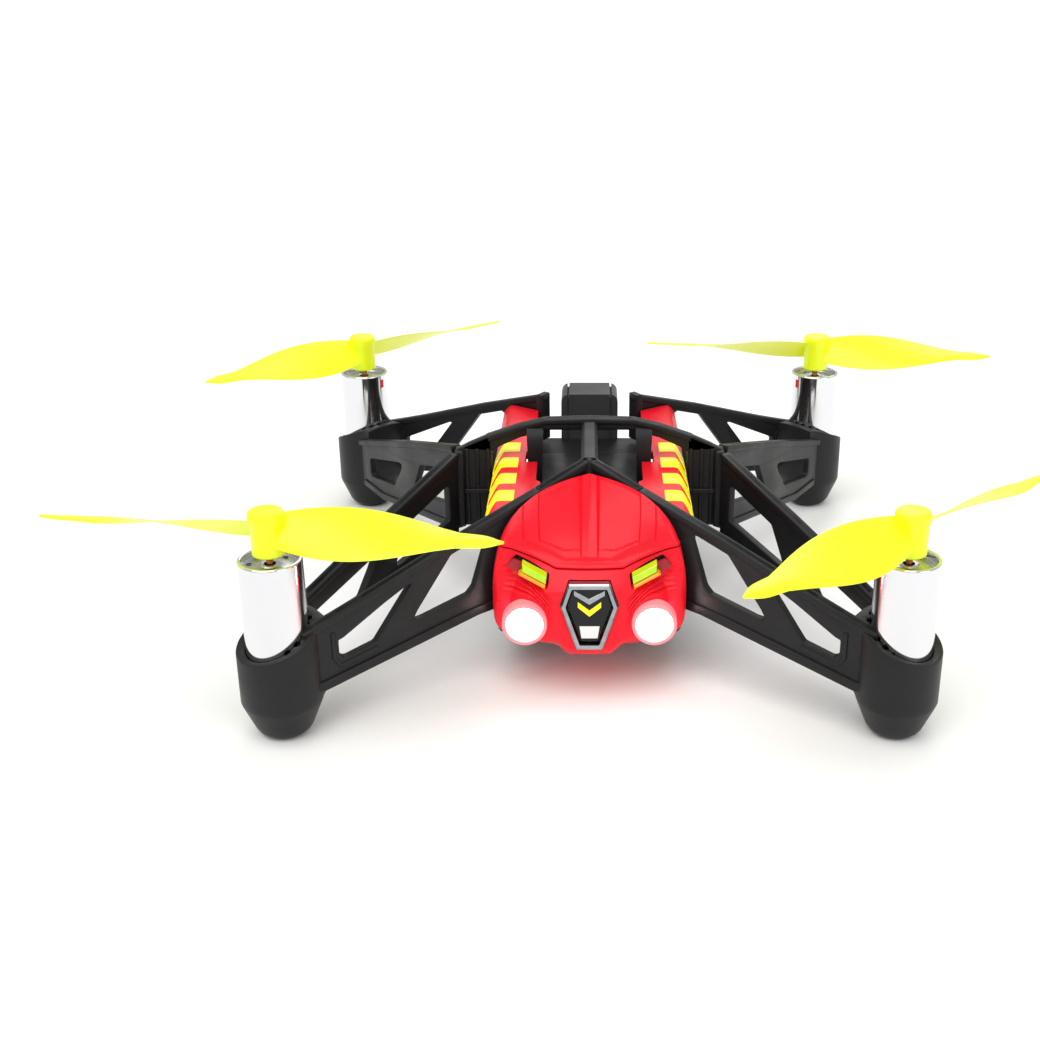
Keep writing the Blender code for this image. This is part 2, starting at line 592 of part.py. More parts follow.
def blade(hub, azimuth, handed):
    """One propeller blade: a wide, thin, twisted plate, steep at the hub and shallow at the tip."""
    angle = math.radians(azimuth)
    out = Vector((math.cos(angle), math.sin(angle)))
    across = Vector((-out.y, out.x))
    loops = []
    stations = 9
    for i in range(stations):
        t = i / (stations - 1)
        radius = BLADE_ROOT + (PROP_RADIUS - BLADE_ROOT) * t
        chord = CHORD_ROOT + CHORD_SWELL * math.sin(math.pi * min(1.0, t * 1.25)) - CHORD_TAPER * t * t
        pitch = math.radians(PITCH_ROOT - PITCH_DROP * min(1.0, t * 1.4)) * handed
        half, thick = chord / 2, 0.45 - 0.15 * t
        loop = []
        for u, v in ((-1, 0), (-0.45, 1), (0.35, 1), (1, 0), (0.35, -0.6), (-0.45, -0.6)):
            w, h = u * half, v * thick + 0.3 * (1 - u * u)
            x, z = w * math.cos(pitch) - h * math.sin(pitch), w * math.sin(pitch) + h * math.cos(pitch)
            plan = Vector(hub) + out * radius + across * x
            loop.append((plan.x, plan.y, BLADE_Z + z))
        loops.append(loop)
    return rings("blade", loops)


def propeller(name, corner):
    hub = hub_of(corner)
    r, low, high = HUB_RADIUS, HUB_BOTTOM, HUB_TOP
    profile = [(0.0, high - 2.4 + GAP), (0.5 + GAP, high - 2.4 + GAP), (0.5 + GAP, low), (r - 0.3, low), (r, low + 0.3),
               (r, high - 0.6), (r - 0.5, high - 0.15), (0.0, high)]
    made = turned("hub", profile, hub, 24)
    handed = corner[0] * corner[1]
    azimuth = BLADE_AZIMUTH[name]
    add(made, blade(hub, azimuth, handed), blade(hub, azimuth + 180.0, handed))
    cut(made, turned("shaft_room", [(0.0, low - 5), (0.5 + GAP, low - 5), (0.5 + GAP, high - 2.4 + GAP),
                                    (0.0, high - 2.4 + GAP)], hub, 24))
    finish(made, "propeller_" + name, "prop_yellow", 50.0)
    return move_origin(made, (*hub, low))


def main():
    clear_scene()
    for name, corner in CORNERS.items():
        arm(name, corner)
        motor(name, corner)
        propeller(name, corner)
    centre_frame()
    hood_shell()
    nose_shell()
    nose_details()
    for name, side in SIDES.items():
        side_panel(name, -side)
    tub()
    belly_parts()
    electronics()
    battery()


main()
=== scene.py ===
"""Looks of the mini palm drone: detailed shells, truss walls, motors, propellers, floor, light and camera.

Lengths are millimetres (MM turns them into metres). The nose points toward -Y and +Z is up. Outlines that stand
across the drone are (x, z) points, plans are (x, y) points, and lathe profiles are (radius, z) points.
"""
from math import atan2, cos, pi, radians, sin, sqrt, tan

import bmesh
import bpy
from mathutils import Matrix, Vector


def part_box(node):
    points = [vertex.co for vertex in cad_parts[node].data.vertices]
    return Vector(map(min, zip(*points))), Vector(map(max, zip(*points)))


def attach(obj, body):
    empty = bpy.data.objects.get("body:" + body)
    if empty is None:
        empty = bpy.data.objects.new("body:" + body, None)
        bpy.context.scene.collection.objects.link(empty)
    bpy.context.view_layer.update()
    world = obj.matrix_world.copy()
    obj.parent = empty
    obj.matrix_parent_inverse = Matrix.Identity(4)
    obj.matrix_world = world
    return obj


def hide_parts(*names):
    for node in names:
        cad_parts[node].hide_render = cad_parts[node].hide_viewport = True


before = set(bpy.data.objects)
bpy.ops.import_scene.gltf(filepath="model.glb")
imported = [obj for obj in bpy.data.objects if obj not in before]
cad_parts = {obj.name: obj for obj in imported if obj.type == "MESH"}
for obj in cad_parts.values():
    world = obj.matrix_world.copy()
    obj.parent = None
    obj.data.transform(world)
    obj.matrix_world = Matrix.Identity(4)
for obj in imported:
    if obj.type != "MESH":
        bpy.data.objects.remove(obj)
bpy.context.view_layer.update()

MM = 0.001


def node_box(name):
    """Lowest and highest corner of a CAD node."""
    low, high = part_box(name)
    return low / MM, high / MM


def node_round(name):
    """Centre of a CAD node and half its width."""
    low, high = node_box(name)
    return (low + high) / 2, (high.x - low.x) / 2


# -------- places read from the frame

CORNERS = {"front_left": (1, 1), "front_right": (-1, 1), "rear_left": (1, -1), "rear_right": (-1, -1)}
SIDES = {"left": -1, "right": 1}
HUBS = {name: node_round("motor_can_" + name)[0] for name in CORNERS}
CAN_FOOT, CAN_HEAD = node_box("motor_can_front_left")
CAN_LOW, CAN_HIGH, CAN_RADIUS = CAN_FOOT.z, CAN_HEAD.z, CAN_HEAD.x - HUBS["front_left"].x
PROP_LOW, PROP_TOP = (corner.z for corner in node_box("propeller_front_left"))
TUB_LOW, TUB_HIGH = node_box("body_tub")
BATTERY_LOW, BATTERY_HIGH = node_box("battery_case")
LENS_LOW, LENS_HIGH = node_box("headlight_lens_right")
HEADLIGHT_X, HEADLIGHT_Z = (LENS_LOW.x + LENS_HIGH.x) / 2, (LENS_LOW.z + LENS_HIGH.z) / 2
HEADLIGHT_RADIUS = (LENS_HIGH.z - LENS_LOW.z) / 2
PORTS = {name: node_round(name) for name in ("camera_module", "sonar_left", "sonar_right", "power_button")}
SCREWS = {name: node_round(name)[0] for name in ("belly_screw_%d" % number for number in range(1, 5))}

# Truss walls in plan, as in the CAD model: start points and directions of the front left pair
OUTER_START, OUTER_DIR = Vector((-38.84, -44.7)), Vector((0.825, 0.565)).normalized()
MID_START, MID_DIR = Vector((-41.64, -33.3)), Vector((0.521, 0.854)).normalized()
APEX_S, LOW_END, DECK = 47.07, 30.6, 20.5    # the V's apex, the end of a wall's deep part, the battery deck


# -------- materials

def ramp(edge0, edge1, value):
    t = min(1, max(0, (value - edge0) / (edge1 - edge0)))
    return t * t * (3 - 2 * t)


class Shade:
    """A Principled material with object-space noise for its colour, roughness and relief."""

    def __init__(self, name, colour, rough, metallic=0, coat=0, glow=None, specular=0.5, **sockets):
        self.material = bpy.data.materials.new(name)
        self.material.use_nodes = True
        self.tree = self.material.node_tree
        self.shader = self.tree.nodes["Principled BSDF"]
        self.colour, self.rough = colour, rough
        self.place = self.tree.nodes.new("ShaderNodeTexCoord").outputs["Object"]
        self.fill(self.shader, Base_Color=(*colour, 1), Roughness=rough, Metallic=metallic, Coat_Weight=coat,
                  Coat_Roughness=0.08, Specular_IOR_Level=specular, **sockets)
        # glow is (strength, r, g, b) of an emission: on the headlight lens it is the lamp, on the other parts that
        # take it it is a painted glow that brightens them
        if glow:
            self.fill(self.shader, Emission_Strength=glow[0], Emission_Color=(*glow[1:], 1))

    def fill(self, node, **values):
        """Set a node's sockets; a socket of another node is linked."""
        for socket, value in values.items():
            own = node.inputs[socket.replace("_", " ")]
            if isinstance(value, bpy.types.NodeSocket):
                self.tree.links.new(value, own)
            else:
                own.default_value = value
        return node

    def add(self, kind, **values):
        return self.fill(self.tree.nodes.new("ShaderNode" + kind), **values)

    def noise(self, scale, detail, stretch):
        place = self.add("Mapping", Scale=stretch, Vector=self.place).outputs["Vector"] if stretch else self.place
        return self.add("TexNoise", Scale=scale, Detail=detail, Vector=place).outputs["Fac"]

    def spread(self, low, high, scale, stretch):
        """Noise whose middle part runs from low to high."""
        noise = self.noise(scale, 4, stretch)
        made = self.add("MapRange", From_Min=0.3, From_Max=0.7, To_Min=low, To_Max=high, Value=noise)
        return made.outputs["Result"]

    def tint(self, scale, amount, other=None, stretch=None):
        """Blend the base colour toward another one by large soft noise."""
        mix = self.tree.nodes.new("ShaderNodeMix")
        mix.data_type = "RGBA"
        other = other or tuple(c * 1.35 for c in self.colour)
        self.fill(mix, A=(*self.colour, 1), B=(*other, 1), Factor=self.spread(0, amount, scale, stretch))
        self.fill(self.shader, Base_Color=mix.outputs["Result"])
        return self

    def wear(self, scale, amount, stretch=None):
        low, high = max(0.02, self.rough - amount), min(1, self.rough + amount)
        self.fill(self.shader, Roughness=self.spread(low, high, scale, stretch))
        return self

    def grain(self, scale, strength, depth, stretch=None):
        """Fine bump: moulded grain, brushing or orange peel."""
        bump = self.add("Bump", Strength=strength, Distance=depth * MM, Height=self.noise(scale, 2, stretch))
        self.fill(self.shader, Normal=bump.outputs["Normal"])
        return self


MOULDED = 3800                 # noise scale of a moulded surface

SHADES = {
    "frame": Shade("frame_black_grain", (0.011, 0.011, 0.012), 0.42, specular=0.25)
    .tint(90, 0.5, (0.018, 0.018, 0.019)).wear(160, 0.07).grain(MOULDED, 0.3, 0.03),
    "tub": Shade("tub_black_grain", (0.009, 0.009, 0.01), 0.5, specular=0.25)
    .tint(70, 0.5, (0.015, 0.015, 0.016)).wear(120, 0.08).grain(MOULDED, 0.35, 0.03),
    "red": Shade("shell_red_gloss", (0.86, 0.008, 0.022), 0.3, specular=0.22)
    .tint(45, 0.35, (0.95, 0.012, 0.028)).wear(200, 0.05).grain(900, 0.06, 0.03),
    # painted shade: a darker copy of the shell red for the plate inside each eye slot, standing in for the shade
    # in that recess
    "red_painted_shade": Shade("shell_red_painted_shade", (0.33, 0.004, 0.012), 0.45)
    .tint(120, 0.5, (0.42, 0.006, 0.016)).grain(MOULDED, 0.2, 0.03),
    # painted glow: the stripe film has a faint emission that brightens it and softens its shading
    "yellow": Shade("stripe_yellow_film", (0.95, 0.88, 0.01), 0.33, glow=(0.22, 1, 0.9, 0.01))
    .tint(80, 0.4, (1, 0.93, 0.02)).wear(240, 0.05).grain(1200, 0.05, 0.02),
    # painted glow: the blades have a faint emission that brightens them and softens their shading
    "prop": Shade("propeller_yellow_nylon", (0.78, 0.9, 0.005), 0.36, glow=(0.16, 0.8, 0.95, 0.01),
                  Subsurface_Weight=0.2, Subsurface_Scale=0.002)
    .tint(110, 0.4, (0.9, 0.97, 0.02)).wear(300, 0.06).grain(2600, 0.12, 0.02),
    "chrome": Shade("motor_can_plating", (0.8, 0.8, 0.815), 0.1, 1)
    .tint(60, 0.3, (0.74, 0.745, 0.76)).wear(900, 0.03, (1, 1, 0.06)).grain(2400, 0.04, 0.01, (1, 1, 0.05)),
    "end_plate": Shade("motor_end_plate", (0.55, 0.56, 0.58), 0.3, 1)
    .tint(500, 0.5, (0.42, 0.43, 0.45)).wear(900, 0.08).grain(2200, 0.1, 0.01),
    "battery": Shade("battery_grey_grain", (0.04, 0.041, 0.043), 0.46, specular=0.3)
    .tint(90, 0.5, (0.055, 0.056, 0.059)).wear(150, 0.08).grain(MOULDED, 0.35, 0.03),
    "label": Shade("battery_label_film", (0.012, 0.012, 0.013), 0.4, specular=0.25)
    .tint(260, 0.3, (0.018, 0.018, 0.02)).wear(300, 0.05).grain(1800, 0.06, 0.02),
    "foil": Shade("cell_pouch_foil", (0.62, 0.63, 0.65), 0.3, 1)
    .tint(220, 0.4).wear(400, 0.1).grain(700, 0.4, 0.05),
    "steel": Shade("screw_steel", (0.56, 0.56, 0.58), 0.3, 1)
    .tint(700, 0.4, (0.42, 0.42, 0.44)).wear(1500, 0.1).grain(3000, 0.15, 0.01),
    "badge": Shade("badge_satin_metal", (0.42, 0.43, 0.45), 0.2, 1)
    .tint(900, 0.6, (0.24, 0.25, 0.27), (0.2, 1, 1)).wear(1200, 0.08).grain(2600, 0.12, 0.01, (0.1, 1, 1)),
    "badge_black": Shade("badge_black_gloss", (0.008, 0.008, 0.009), 0.25, specular=0.3)
    .tint(200, 0.4, (0.014, 0.014, 0.016)).wear(400, 0.05).grain(1500, 0.05, 0.02),
    "white": Shade("emblem_white_film", (0.85, 0.84, 0.82), 0.35)
    .tint(400, 0.3, (0.78, 0.77, 0.75)).grain(1500, 0.06, 0.02),
    "lamp": Shade("headlight_lit_lens", (0.95, 0.96, 1), 0.12, coat=0.3, glow=(14, 1, 0.98, 0.97))
    .tint(500, 0.2, (0.9, 0.92, 1)).grain(1500, 0.1, 0.03),
    # painted light: the bezel ring round each headlight is pink and faintly emissive, standing in for the
    # headlight's light falling on it
    "halo": Shade("headlight_lit_ring", (0.92, 0.2, 0.22), 0.3, glow=(0.28, 1, 0.42, 0.45))
    .tint(300, 0.4, (0.95, 0.3, 0.32)).grain(1200, 0.06, 0.02),
    # painted glow: a faint emission that brightens the eye lens
    "lime": Shade("eye_lens_lime", (0.42, 0.74, 0.004), 0.15, coat=0.3, glow=(0.12, 0.5, 0.9, 0.01))
    .tint(420, 0.8, (0.62, 0.86, 0.006)).grain(1300, 0.1, 0.03),
    # painted glow: a faint emission that brightens the amber strip
    "amber": Shade("eye_strip_amber", (0.92, 0.33, 0.01), 0.3, coat=0.3, glow=(0.15, 0.92, 0.33, 0.01))
    .tint(500, 0.4, (0.95, 0.45, 0.02)).grain(1300, 0.08, 0.02),
    "glass": Shade("camera_glass_dark", (0.01, 0.01, 0.02), 0.04, coat=1)
    .tint(300, 0.6, (0.03, 0.012, 0.05)).wear(500, 0.02),
    "rubber": Shade("button_rubber", (0.05, 0.05, 0.052), 0.7)
    .tint(200, 0.4, (0.07, 0.07, 0.072)).grain(2600, 0.3, 0.03),
    "copper": Shade("winding_copper", (0.72, 0.3, 0.12), 0.32, 1)
    .tint(900, 0.6, (0.5, 0.18, 0.07), (1, 1, 6)).grain(3500, 0.5, 0.03, (1, 1, 8)),
    "magnet": Shade("magnet_nickel", (0.42, 0.42, 0.44), 0.22, 1).tint(300, 0.4).wear(600, 0.08),
    "gold": Shade("contact_gold", (0.88, 0.6, 0.18), 0.25, 1).tint(400, 0.3).wear(900, 0.1),
    "board": Shade("board_green_mask", (0.01, 0.1, 0.035), 0.38, coat=0.2)
    .tint(420, 0.7, (0.015, 0.17, 0.06), (1, 4, 1)).grain(1100, 0.2, 0.03),
    "plastic": Shade("brush_cap_plastic", (0.03, 0.03, 0.032), 0.5).tint(200, 0.4).grain(MOULDED, 0.3, 0.03),
}


# -------- mesh helpers

def add_object(data):
    made = bpy.data.objects.new(data.name, data)
    bpy.context.scene.collection.objects.link(made)
    return made


def remove(made):
    bpy.data.objects.remove(made, do_unlink=True)


def soften(mesh, angle=35):
    """Smooth shading with edges above an angle in degrees kept sharp."""
    mesh.shade_smooth()
    mesh.set_sharp_from_angle(angle=radians(angle))


def wrap(bm, smooth=35, outward=True):
    """Turn a bmesh in millimetres into an object in metres."""
    if outward:
        bmesh.ops.recalc_face_normals(bm, faces=bm.faces)
    bmesh.ops.scale(bm, vec=(MM, MM, MM), verts=bm.verts)
    mesh = bpy.data.meshes.new("piece")
    bm.to_mesh(mesh)
    bm.free()
    soften(mesh, smooth)
    return add_object(mesh)


def edit(made, *steps):
    """Run bmesh steps on an object's mesh."""
    bm = bmesh.new()
    bm.from_mesh(made.data)
    for step in steps:
        step(bm)
    bm.to_mesh(made.data)
    bm.free()


def evaluated(made):
    """Mesh of an object after its modifiers, or of a curve."""
    bpy.context.view_layer.update()
    return bpy.data.meshes.new_from_object(made.evaluated_get(bpy.context.evaluated_depsgraph_get()))


def apply_modifiers(made):
    mesh = evaluated(made)
    made.modifiers.clear()
    made.data = mesh


def boolean(made, operation, tool):
    step = made.modifiers.new("carve", "BOOLEAN")
    step.operation, step.solver, step.object = operation, "EXACT", tool
    apply_modifiers(made)


def carve(made, operation, *tools):
    """Apply a Boolean with each tool in turn, tidy what it leaves, and remove the tool."""
    for tool in tools:
        boolean(made, operation, tool)
        remove(tool)
        edit(made, lambda bm: bmesh.ops.dissolve_degenerate(bm, dist=2e-6, edges=bm.edges))
    soften(made.data)
    return made


def cut(made, *tools):
    return carve(made, "DIFFERENCE", *tools)


def join(parts):
    """One object from several painted ones, keeping each part's material."""
    mesh = bpy.data.meshes.new("joined")
    bm = bmesh.new()
    slots = []
    for part in parts:
        own = part.data.materials[0]
        if own not in slots:
            slots.append(own)
        start = len(bm.faces)
        bm.from_mesh(part.data)
        bm.faces.ensure_lookup_table()
        for face in bm.faces[start:]:
            face.material_index = slots.index(own)
        remove(part)
    bm.to_mesh(mesh)
    bm.free()
    for own in slots:
        mesh.materials.append(own)
    return add_object(mesh)


def paint(made, key):
    made.data.materials.clear()
    made.data.materials.append(SHADES[key].material)
    return made


def settle(parts, name, node, body="airframe"):
    """Join painted parts into a named piece that rides on a body and stands for a CAD node."""
    made = join(parts) if len(parts) > 1 else parts[0]
    made.name = made.data.name = name
    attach(made, body)
    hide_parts(node)


def bridge(bm, loops):
    """Make a vertex for each point of rings of equal length, and the faces between neighbouring rings."""
    rings = [[bm.verts.new(p) for p in loop] for loop in loops]
    for low, high in zip(rings, rings[1:]):
        for i in range(len(low)):
            j = (i + 1) % len(low)
            bm.faces.new((low[i], low[j], high[j], high[i]))
    return rings


def skin(loops, smooth=35):
    """A closed skin over rings of equal length, with a flat cap at each end."""
    bm = bmesh.new()
    rings = bridge(bm, loops)
    bm.faces.new(rings[0])
    bm.faces.new(rings[-1])
    return wrap(bm, smooth)


def extrude_y(outline, y0, y1):
    return skin([[(x, y, z) for x, z in outline] for y in (y0, y1)])


def extrude_z(plan, z0, z1):
    return skin([[(x, y, z) for x, y in plan] for z in (z0, z1)])


def lathe(profile, centre=(0, 0), segments=72):
    """Turn a profile round a vertical axis; a radius of 0 closes an end in a point."""
    bm = bmesh.new()
    loops = []
    for radius, z in profile:
        turns = [2 * pi * i / segments for i in range(segments if radius else 1)]
        loops.append([bm.verts.new((centre[0] + radius * cos(a), centre[1] + radius * sin(a), z))
                      for a in turns])
    pairs = list(zip(loops, loops[1:]))
    if len(loops[0]) > 1:
        pairs.append((loops[-1], loops[0]))
    for first, second in pairs:
        for i in range(segments):
            quad = [loop[k % len(loop)] for loop, k in ((first, i), (first, i + 1), (second, i + 1), (second, i))]
            bm.faces.new(list(dict.fromkeys(quad)))
    return wrap(bm)


def arc(centre, radius, start, end, steps):
    """Points (radius, z) of an arc, with angles in degrees."""
    points = []
    for i in range(steps + 1):
        a = radians(start + (end - start) * i / steps)
        points.append((centre[0] + radius * cos(a), centre[1] + radius * sin(a)))
    return points


def rounded(points, radius, steps=4):
    """An outline whose corners are replaced by short curves."""
    out = []
    for i, point in enumerate(points):
        corner = Vector(point)
        back = Vector(points[i - 1]) - corner
        ahead = Vector(points[(i + 1) % len(points)]) - corner
        half = back.angle(ahead) / 2
        reach = min(radius / max(tan(half), 0.05), 0.42 * min(back.length, ahead.length))
        first, last = corner + back.normalized() * reach, corner + ahead.normalized() * reach
        for k in range(steps + 1):
            t = k / steps
            out.append(tuple(first * (1 - t) ** 2 + corner * 2 * t * (1 - t) + last * t * t))
    return out


def inset(points, distance):
    """Move each edge of an outline inward (for counter-clockwise outlines) by distance."""
    out = []
    count = len(points)
    for i in range(count):
        before, here, after = (Vector(points[k % count]) for k in (i - 1, i, i + 1))
        d0, d1 = (here - before).normalized(), (after - here).normalized()
        n0, n1 = Vector((-d0.y, d0.x)), Vector((-d1.y, d1.x))
        bisector = (n0 + n1).normalized()
        out.append(tuple(here + bisector * distance / max(0.35, bisector.dot(n0))))
    return out


def anticlockwise(points):
    area = 0
    for (x0, y0), (x1, y1) in zip(points, points[1:] + points[:1]):
        area += x0 * y1 - x1 * y0
    return points if area > 0 else points[::-1]


def plate(outlines, thickness, edge, matrix):
    """A flat plate with rounded edges; the first outline is its rim and the rest are holes."""
    curve = bpy.data.curves.new("plate", "CURVE")
    curve.dimensions = "2D"
    curve.fill_mode = "BOTH"
    for outline in outlines:
        spline = curve.splines.new("POLY")
        spline.points.add(len(outline) - 1)
        for point, (x, y) in zip(spline.points, outline):
            point.co = (x * MM, y * MM, 0, 1)
        spline.use_cyclic_u = True
    curve.bevel_depth = edge * MM
    curve.bevel_resolution = 2
    curve.offset = -edge * MM
    curve.extrude = (thickness / 2 - edge) * MM
    drawn = add_object(curve)
    made = add_object(evaluated(drawn))
    remove(drawn)
    made.data.transform(matrix)
    edit(made, lambda bm: bmesh.ops.remove_doubles(bm, verts=bm.verts, dist=1e-6),
         lambda bm: bmesh.ops.recalc_face_normals(bm, faces=bm.faces))
    soften(made.data)
    return made


def upright(start, direction, corner):
    """Matrix that stands a plate's plane on its edge along a plan direction, mirrored to a corner."""
    mirror_x, mirror_y = corner
    along_wall = (direction.x * mirror_x, direction.y * mirror_y, 0)
    normal = (direction.y * mirror_x, -direction.x * mirror_y, 0)
    matrix = Matrix((along_wall, (0, 0, 1), normal)).transposed().to_4x4()
    matrix.translation = (start.x * mirror_x * MM, start.y * mirror_y * MM, 0)
    return matrix


def block(corner, opposite, radius, steps=3):
    """A box whose edges are all rounded."""
    low, high = (Vector(map(pick, corner, opposite)) for pick in (min, max))
    bm = bmesh.new()
    bmesh.ops.create_cube(bm, size=1)
    bmesh.ops.scale(bm, vec=high - low, verts=bm.verts)
    bmesh.ops.translate(bm, vec=(high + low) / 2, verts=bm.verts)
    bmesh.ops.bevel(bm, geom=list(bm.edges), offset=radius, segments=steps, profile=0.5, affect="EDGES")
    return wrap(bm, 50)


def front_plane(x, shift):
    """Y of the front walls' middle plane at x, moved forward by shift."""
    return OUTER_START.y + (-abs(x) - OUTER_START.x) * OUTER_DIR.y / OUTER_DIR.x - shift / OUTER_DIR.x


# -------- truss walls and motor cups

def rail(points, shift):
    """A strip of even width over (shift above 0) or under a polyline."""
    other = []
    for i, point in enumerate(points):
        ahead = Vector(points[min(i + 1, len(points) - 1)]) - Vector(points[max(i - 1, 0)])
        normal = Vector((-ahead.y, ahead.x)).normalized()
        other.append(tuple(Vector(point) + normal * shift))
    return anticlockwise(points + other[::-1])


WEB, EDGE = 1.3, 0.22            # thickness of a truss wall's web, and the rounding of its edges


def truss(start, direction, corner, outline, holes, rails):
    """A thin web with rounded holes, stiffened by thicker rails given as (points, shift, thickness)."""
    matrix = upright(start, direction, corner)
    rims = [rounded(anticlockwise(outline), 0.5)]
    rims += [rounded(anticlockwise(hole)[::-1], 0.9) for hole in holes]
    strips = [(rims, WEB)] + [([rounded(rail(points, shift), 0.2, 2)], thick) for points, shift, thick in rails]
    return [plate(outlines, thick, EDGE, matrix) for outlines, thick in strips]


# Outlines as (distance along the wall, z)
OUTER_END = 37.55
OUTER_TOP = [(-2, 16.6), (3.5, 18.3), (7.8, 19.7), (22.6, 24.8), (OUTER_END, 29.4)]
OUTER_BOTTOM = [(-1, 6.9), (1, 6.9), (26.2, 11.8), (LOW_END - 0.2, 12.15)]
OUTER_HOLES = [[(3.5, 14.3), (3.5, 11.8), (4.5, 11.1), (9.2, 12.1), (15.4, 19.8), (14.6, 19.6)],
               [(14.75, 13.4), (24.8, 15.5), (25.8, 16.5), (28.4, 23.8), (27.7, 24.4), (22.1, 22.6)]]
OUTER_GROOVE = [(2.3, 15.6), (2.3, 11.4), (3.6, 9.7), (9.6, 10.9)]
MID_END = 36.75
MID_TOP = [(-5, 15.6), (0, 16.95), (16.7, 21.9), (22.2, 23.4), (MID_END, 27.3)]
MID_BOTTOM = [(-3, 6.9), (6, 6.9), (MID_END, 12)]
MID_HOLES = [[(0, 13.3), (0, 9.7), (11.2, 11.6), (15.9, 17.4)],
             [(19.3, 13), (23.2, 19.4), (34.4, 22.5), (34.4, 16)]]


def outer_wall(corner):
    outline = [(-2, 7)] + OUTER_TOP + [(OUTER_END, DECK), (LOW_END + 1.2, DECK), (LOW_END, 12.2)]
    outline += OUTER_BOTTOM[2:0:-1]
    rails = [(OUTER_TOP, -1.1, 1.85), (OUTER_BOTTOM, 1.5, 2.1), (OUTER_GROOVE, 0.7, 1.75)]
    if corner[1] < 0:
        rails.append(([(OUTER_END - 0.05, 29.3), (OUTER_END - 0.05, DECK + 0.1)], -1.3, 2.6))
    return truss(OUTER_START, OUTER_DIR, corner, outline, OUTER_HOLES, rails)


def mid_wall(corner):
    outline = [(-4, 6.9), (-4, 15.8)] + MID_TOP[1:] + MID_BOTTOM[:0:-1]
    return truss(MID_START, MID_DIR, corner, outline, MID_HOLES, [(MID_TOP, -1.1, 1.85), (MID_BOTTOM, 1.3, 2)])


CUP_RADIUS, CUP_LIP, CUP_SLOPE = 5.9, 13, 0.42
BLOCK_DEPTH, BLOCK_HALF = 6, 4.2           # flat block on the inner side of a cup
CUP_FOOT = [(2.2, 0), (2.6, 0.03), (3.3, 0.4), (3.8, 0.85), (4.15, 1.35), (4.6, 2.4), (5.75, 5.2)]
BORE, BORE_FLOOR = CAN_RADIUS + 0.12, CAN_LOW - 0.3
CUP_SEGMENTS, CUP_RIBS, RIB_DEPTH = 144, 18, 0.7


def cup_reach(angle):
    """Plan radius of a cup at an angle from its inward direction: round, with a flat block facing inward."""
    c, s = cos(angle), abs(sin(angle))
    if c <= 0:
        return CUP_RADIUS
    reach = min(BLOCK_DEPTH / c, BLOCK_HALF / max(s, 0.01))
    return (reach ** 14 + CUP_RADIUS ** 14) ** (1 / 14) if reach < 9 else CUP_RADIUS


def cup(hub, corner):
    """Motor cup: rounded foot, cone, wall with a slanting rim, and a bore whose ribs grip the can."""
    inward = atan2(corner[1], corner[0])
    loops = []

    def ring(place):
        """Add a ring whose (radius, z) is place(angle, rib depth there)."""
        loop = []
        for i in range(CUP_SEGMENTS):
            a = 2 * pi * i / CUP_SEGMENTS
            between = cos(a) > -0.35 and (i * CUP_RIBS * 2 // CUP_SEGMENTS) % 2
            radius, z = place(a, RIB_DEPTH if between else 0)
            loop.append((hub.x + radius * cos(a + inward), hub.y + radius * sin(a + inward), z))
        loops.append(loop)

    def rim(a):
        return CUP_LIP + CUP_SLOPE * (CUP_RADIUS + 5.4 * cos(a))

    for radius, z in CUP_FOOT:
        ring(lambda a, rib: (radius, z))
    for z, blend in ((5.65, 0), (6.6, 0.75), (7, 1)):
        ring(lambda a, rib: (CUP_RADIUS + blend * (cup_reach(a) - CUP_RADIUS), z))
    for drop, back in ((0.3, 0), (0.08, 0.08), (0, 0.3)):
        ring(lambda a, rib: (cup_reach(a) - back, rim(a) - drop))
    for grow, share, drop in ((0.5, 0, 0), (0, 0.6, 0.1), (0, 1, 0.3), (0, 1, 1.9), (0, 0, 2.2)):
        ring(lambda a, rib: (BORE + grow + rib * share, rim(a) - drop))
    for back in (0, 0.2):
        ring(lambda a, rib: (BORE - back, BORE_FLOOR + 0.2 - back))
    return skin(loops)


def arms():
    for name, corner in CORNERS.items():
        parts = [cup(HUBS[name], corner)] + outer_wall(corner) + mid_wall(corner)
        settle([paint(part, "frame") for part in parts], "truss_arm_" + name, "arm_" + name)


# -------- centre frame

ARCH = [(22.4, 27.4), (17, 29.8), (11.5, 31.7), (7.4, 32.7), (0, 32.9)]
ARCH_UNDER = [(-15.9, 27), (-15, 27.9), (-11.5, 29.5), (-6.8, 30.8), (6.8, 30.8), (11.5, 29.5), (15, 27.9),
              (15.9, 27)]
GUSSET_X = 9
ACROSS = Matrix(((1, 0, 0, 0), (0, 0, 1, 0), (0, 1, 0, 0), (0, 0, 0, 1)))    # stands a plate across the drone


def arch_plates():
    """The transverse arch: a web under a wider curved rail, and the plates at its two ends."""
    crown = ARCH + [(-x, z) for x, z in ARCH[-2::-1]]
    parts = [plate([rounded(anticlockwise(crown + ARCH_UNDER), 1.2)], 1.5, 0.25, ACROSS),
             plate([rail(rounded(crown, 3)[5:-5], 1)], 2.2, 0.3, ACROSS)]
    for side in (-1, 1):
        outline = [(side * x, z) for x, z in ((16.3, 13.9), (22.2, 13.7), (22.2, 27.4), (16.3, 29.9))]
        parts.append(plate([rounded(anticlockwise(outline), 0.4)], 1.5, 0.2, ACROSS))
        parts += [block((side * (x - 0.3), -1.1, 14.2), (side * (x + 0.3), 1.1, 27.6), 0.15)
                  for x in (16.9, 18.7, 20.4)]
        parts += [block((side * 16.4, -1.25, 19.7), (side * 22.2, 1.25, 20.5), 0.2),
                  block((side * 20.9, -1.7, 13.8), (side * 22.4, 1.7, 27.3), 0.3)]
    return parts


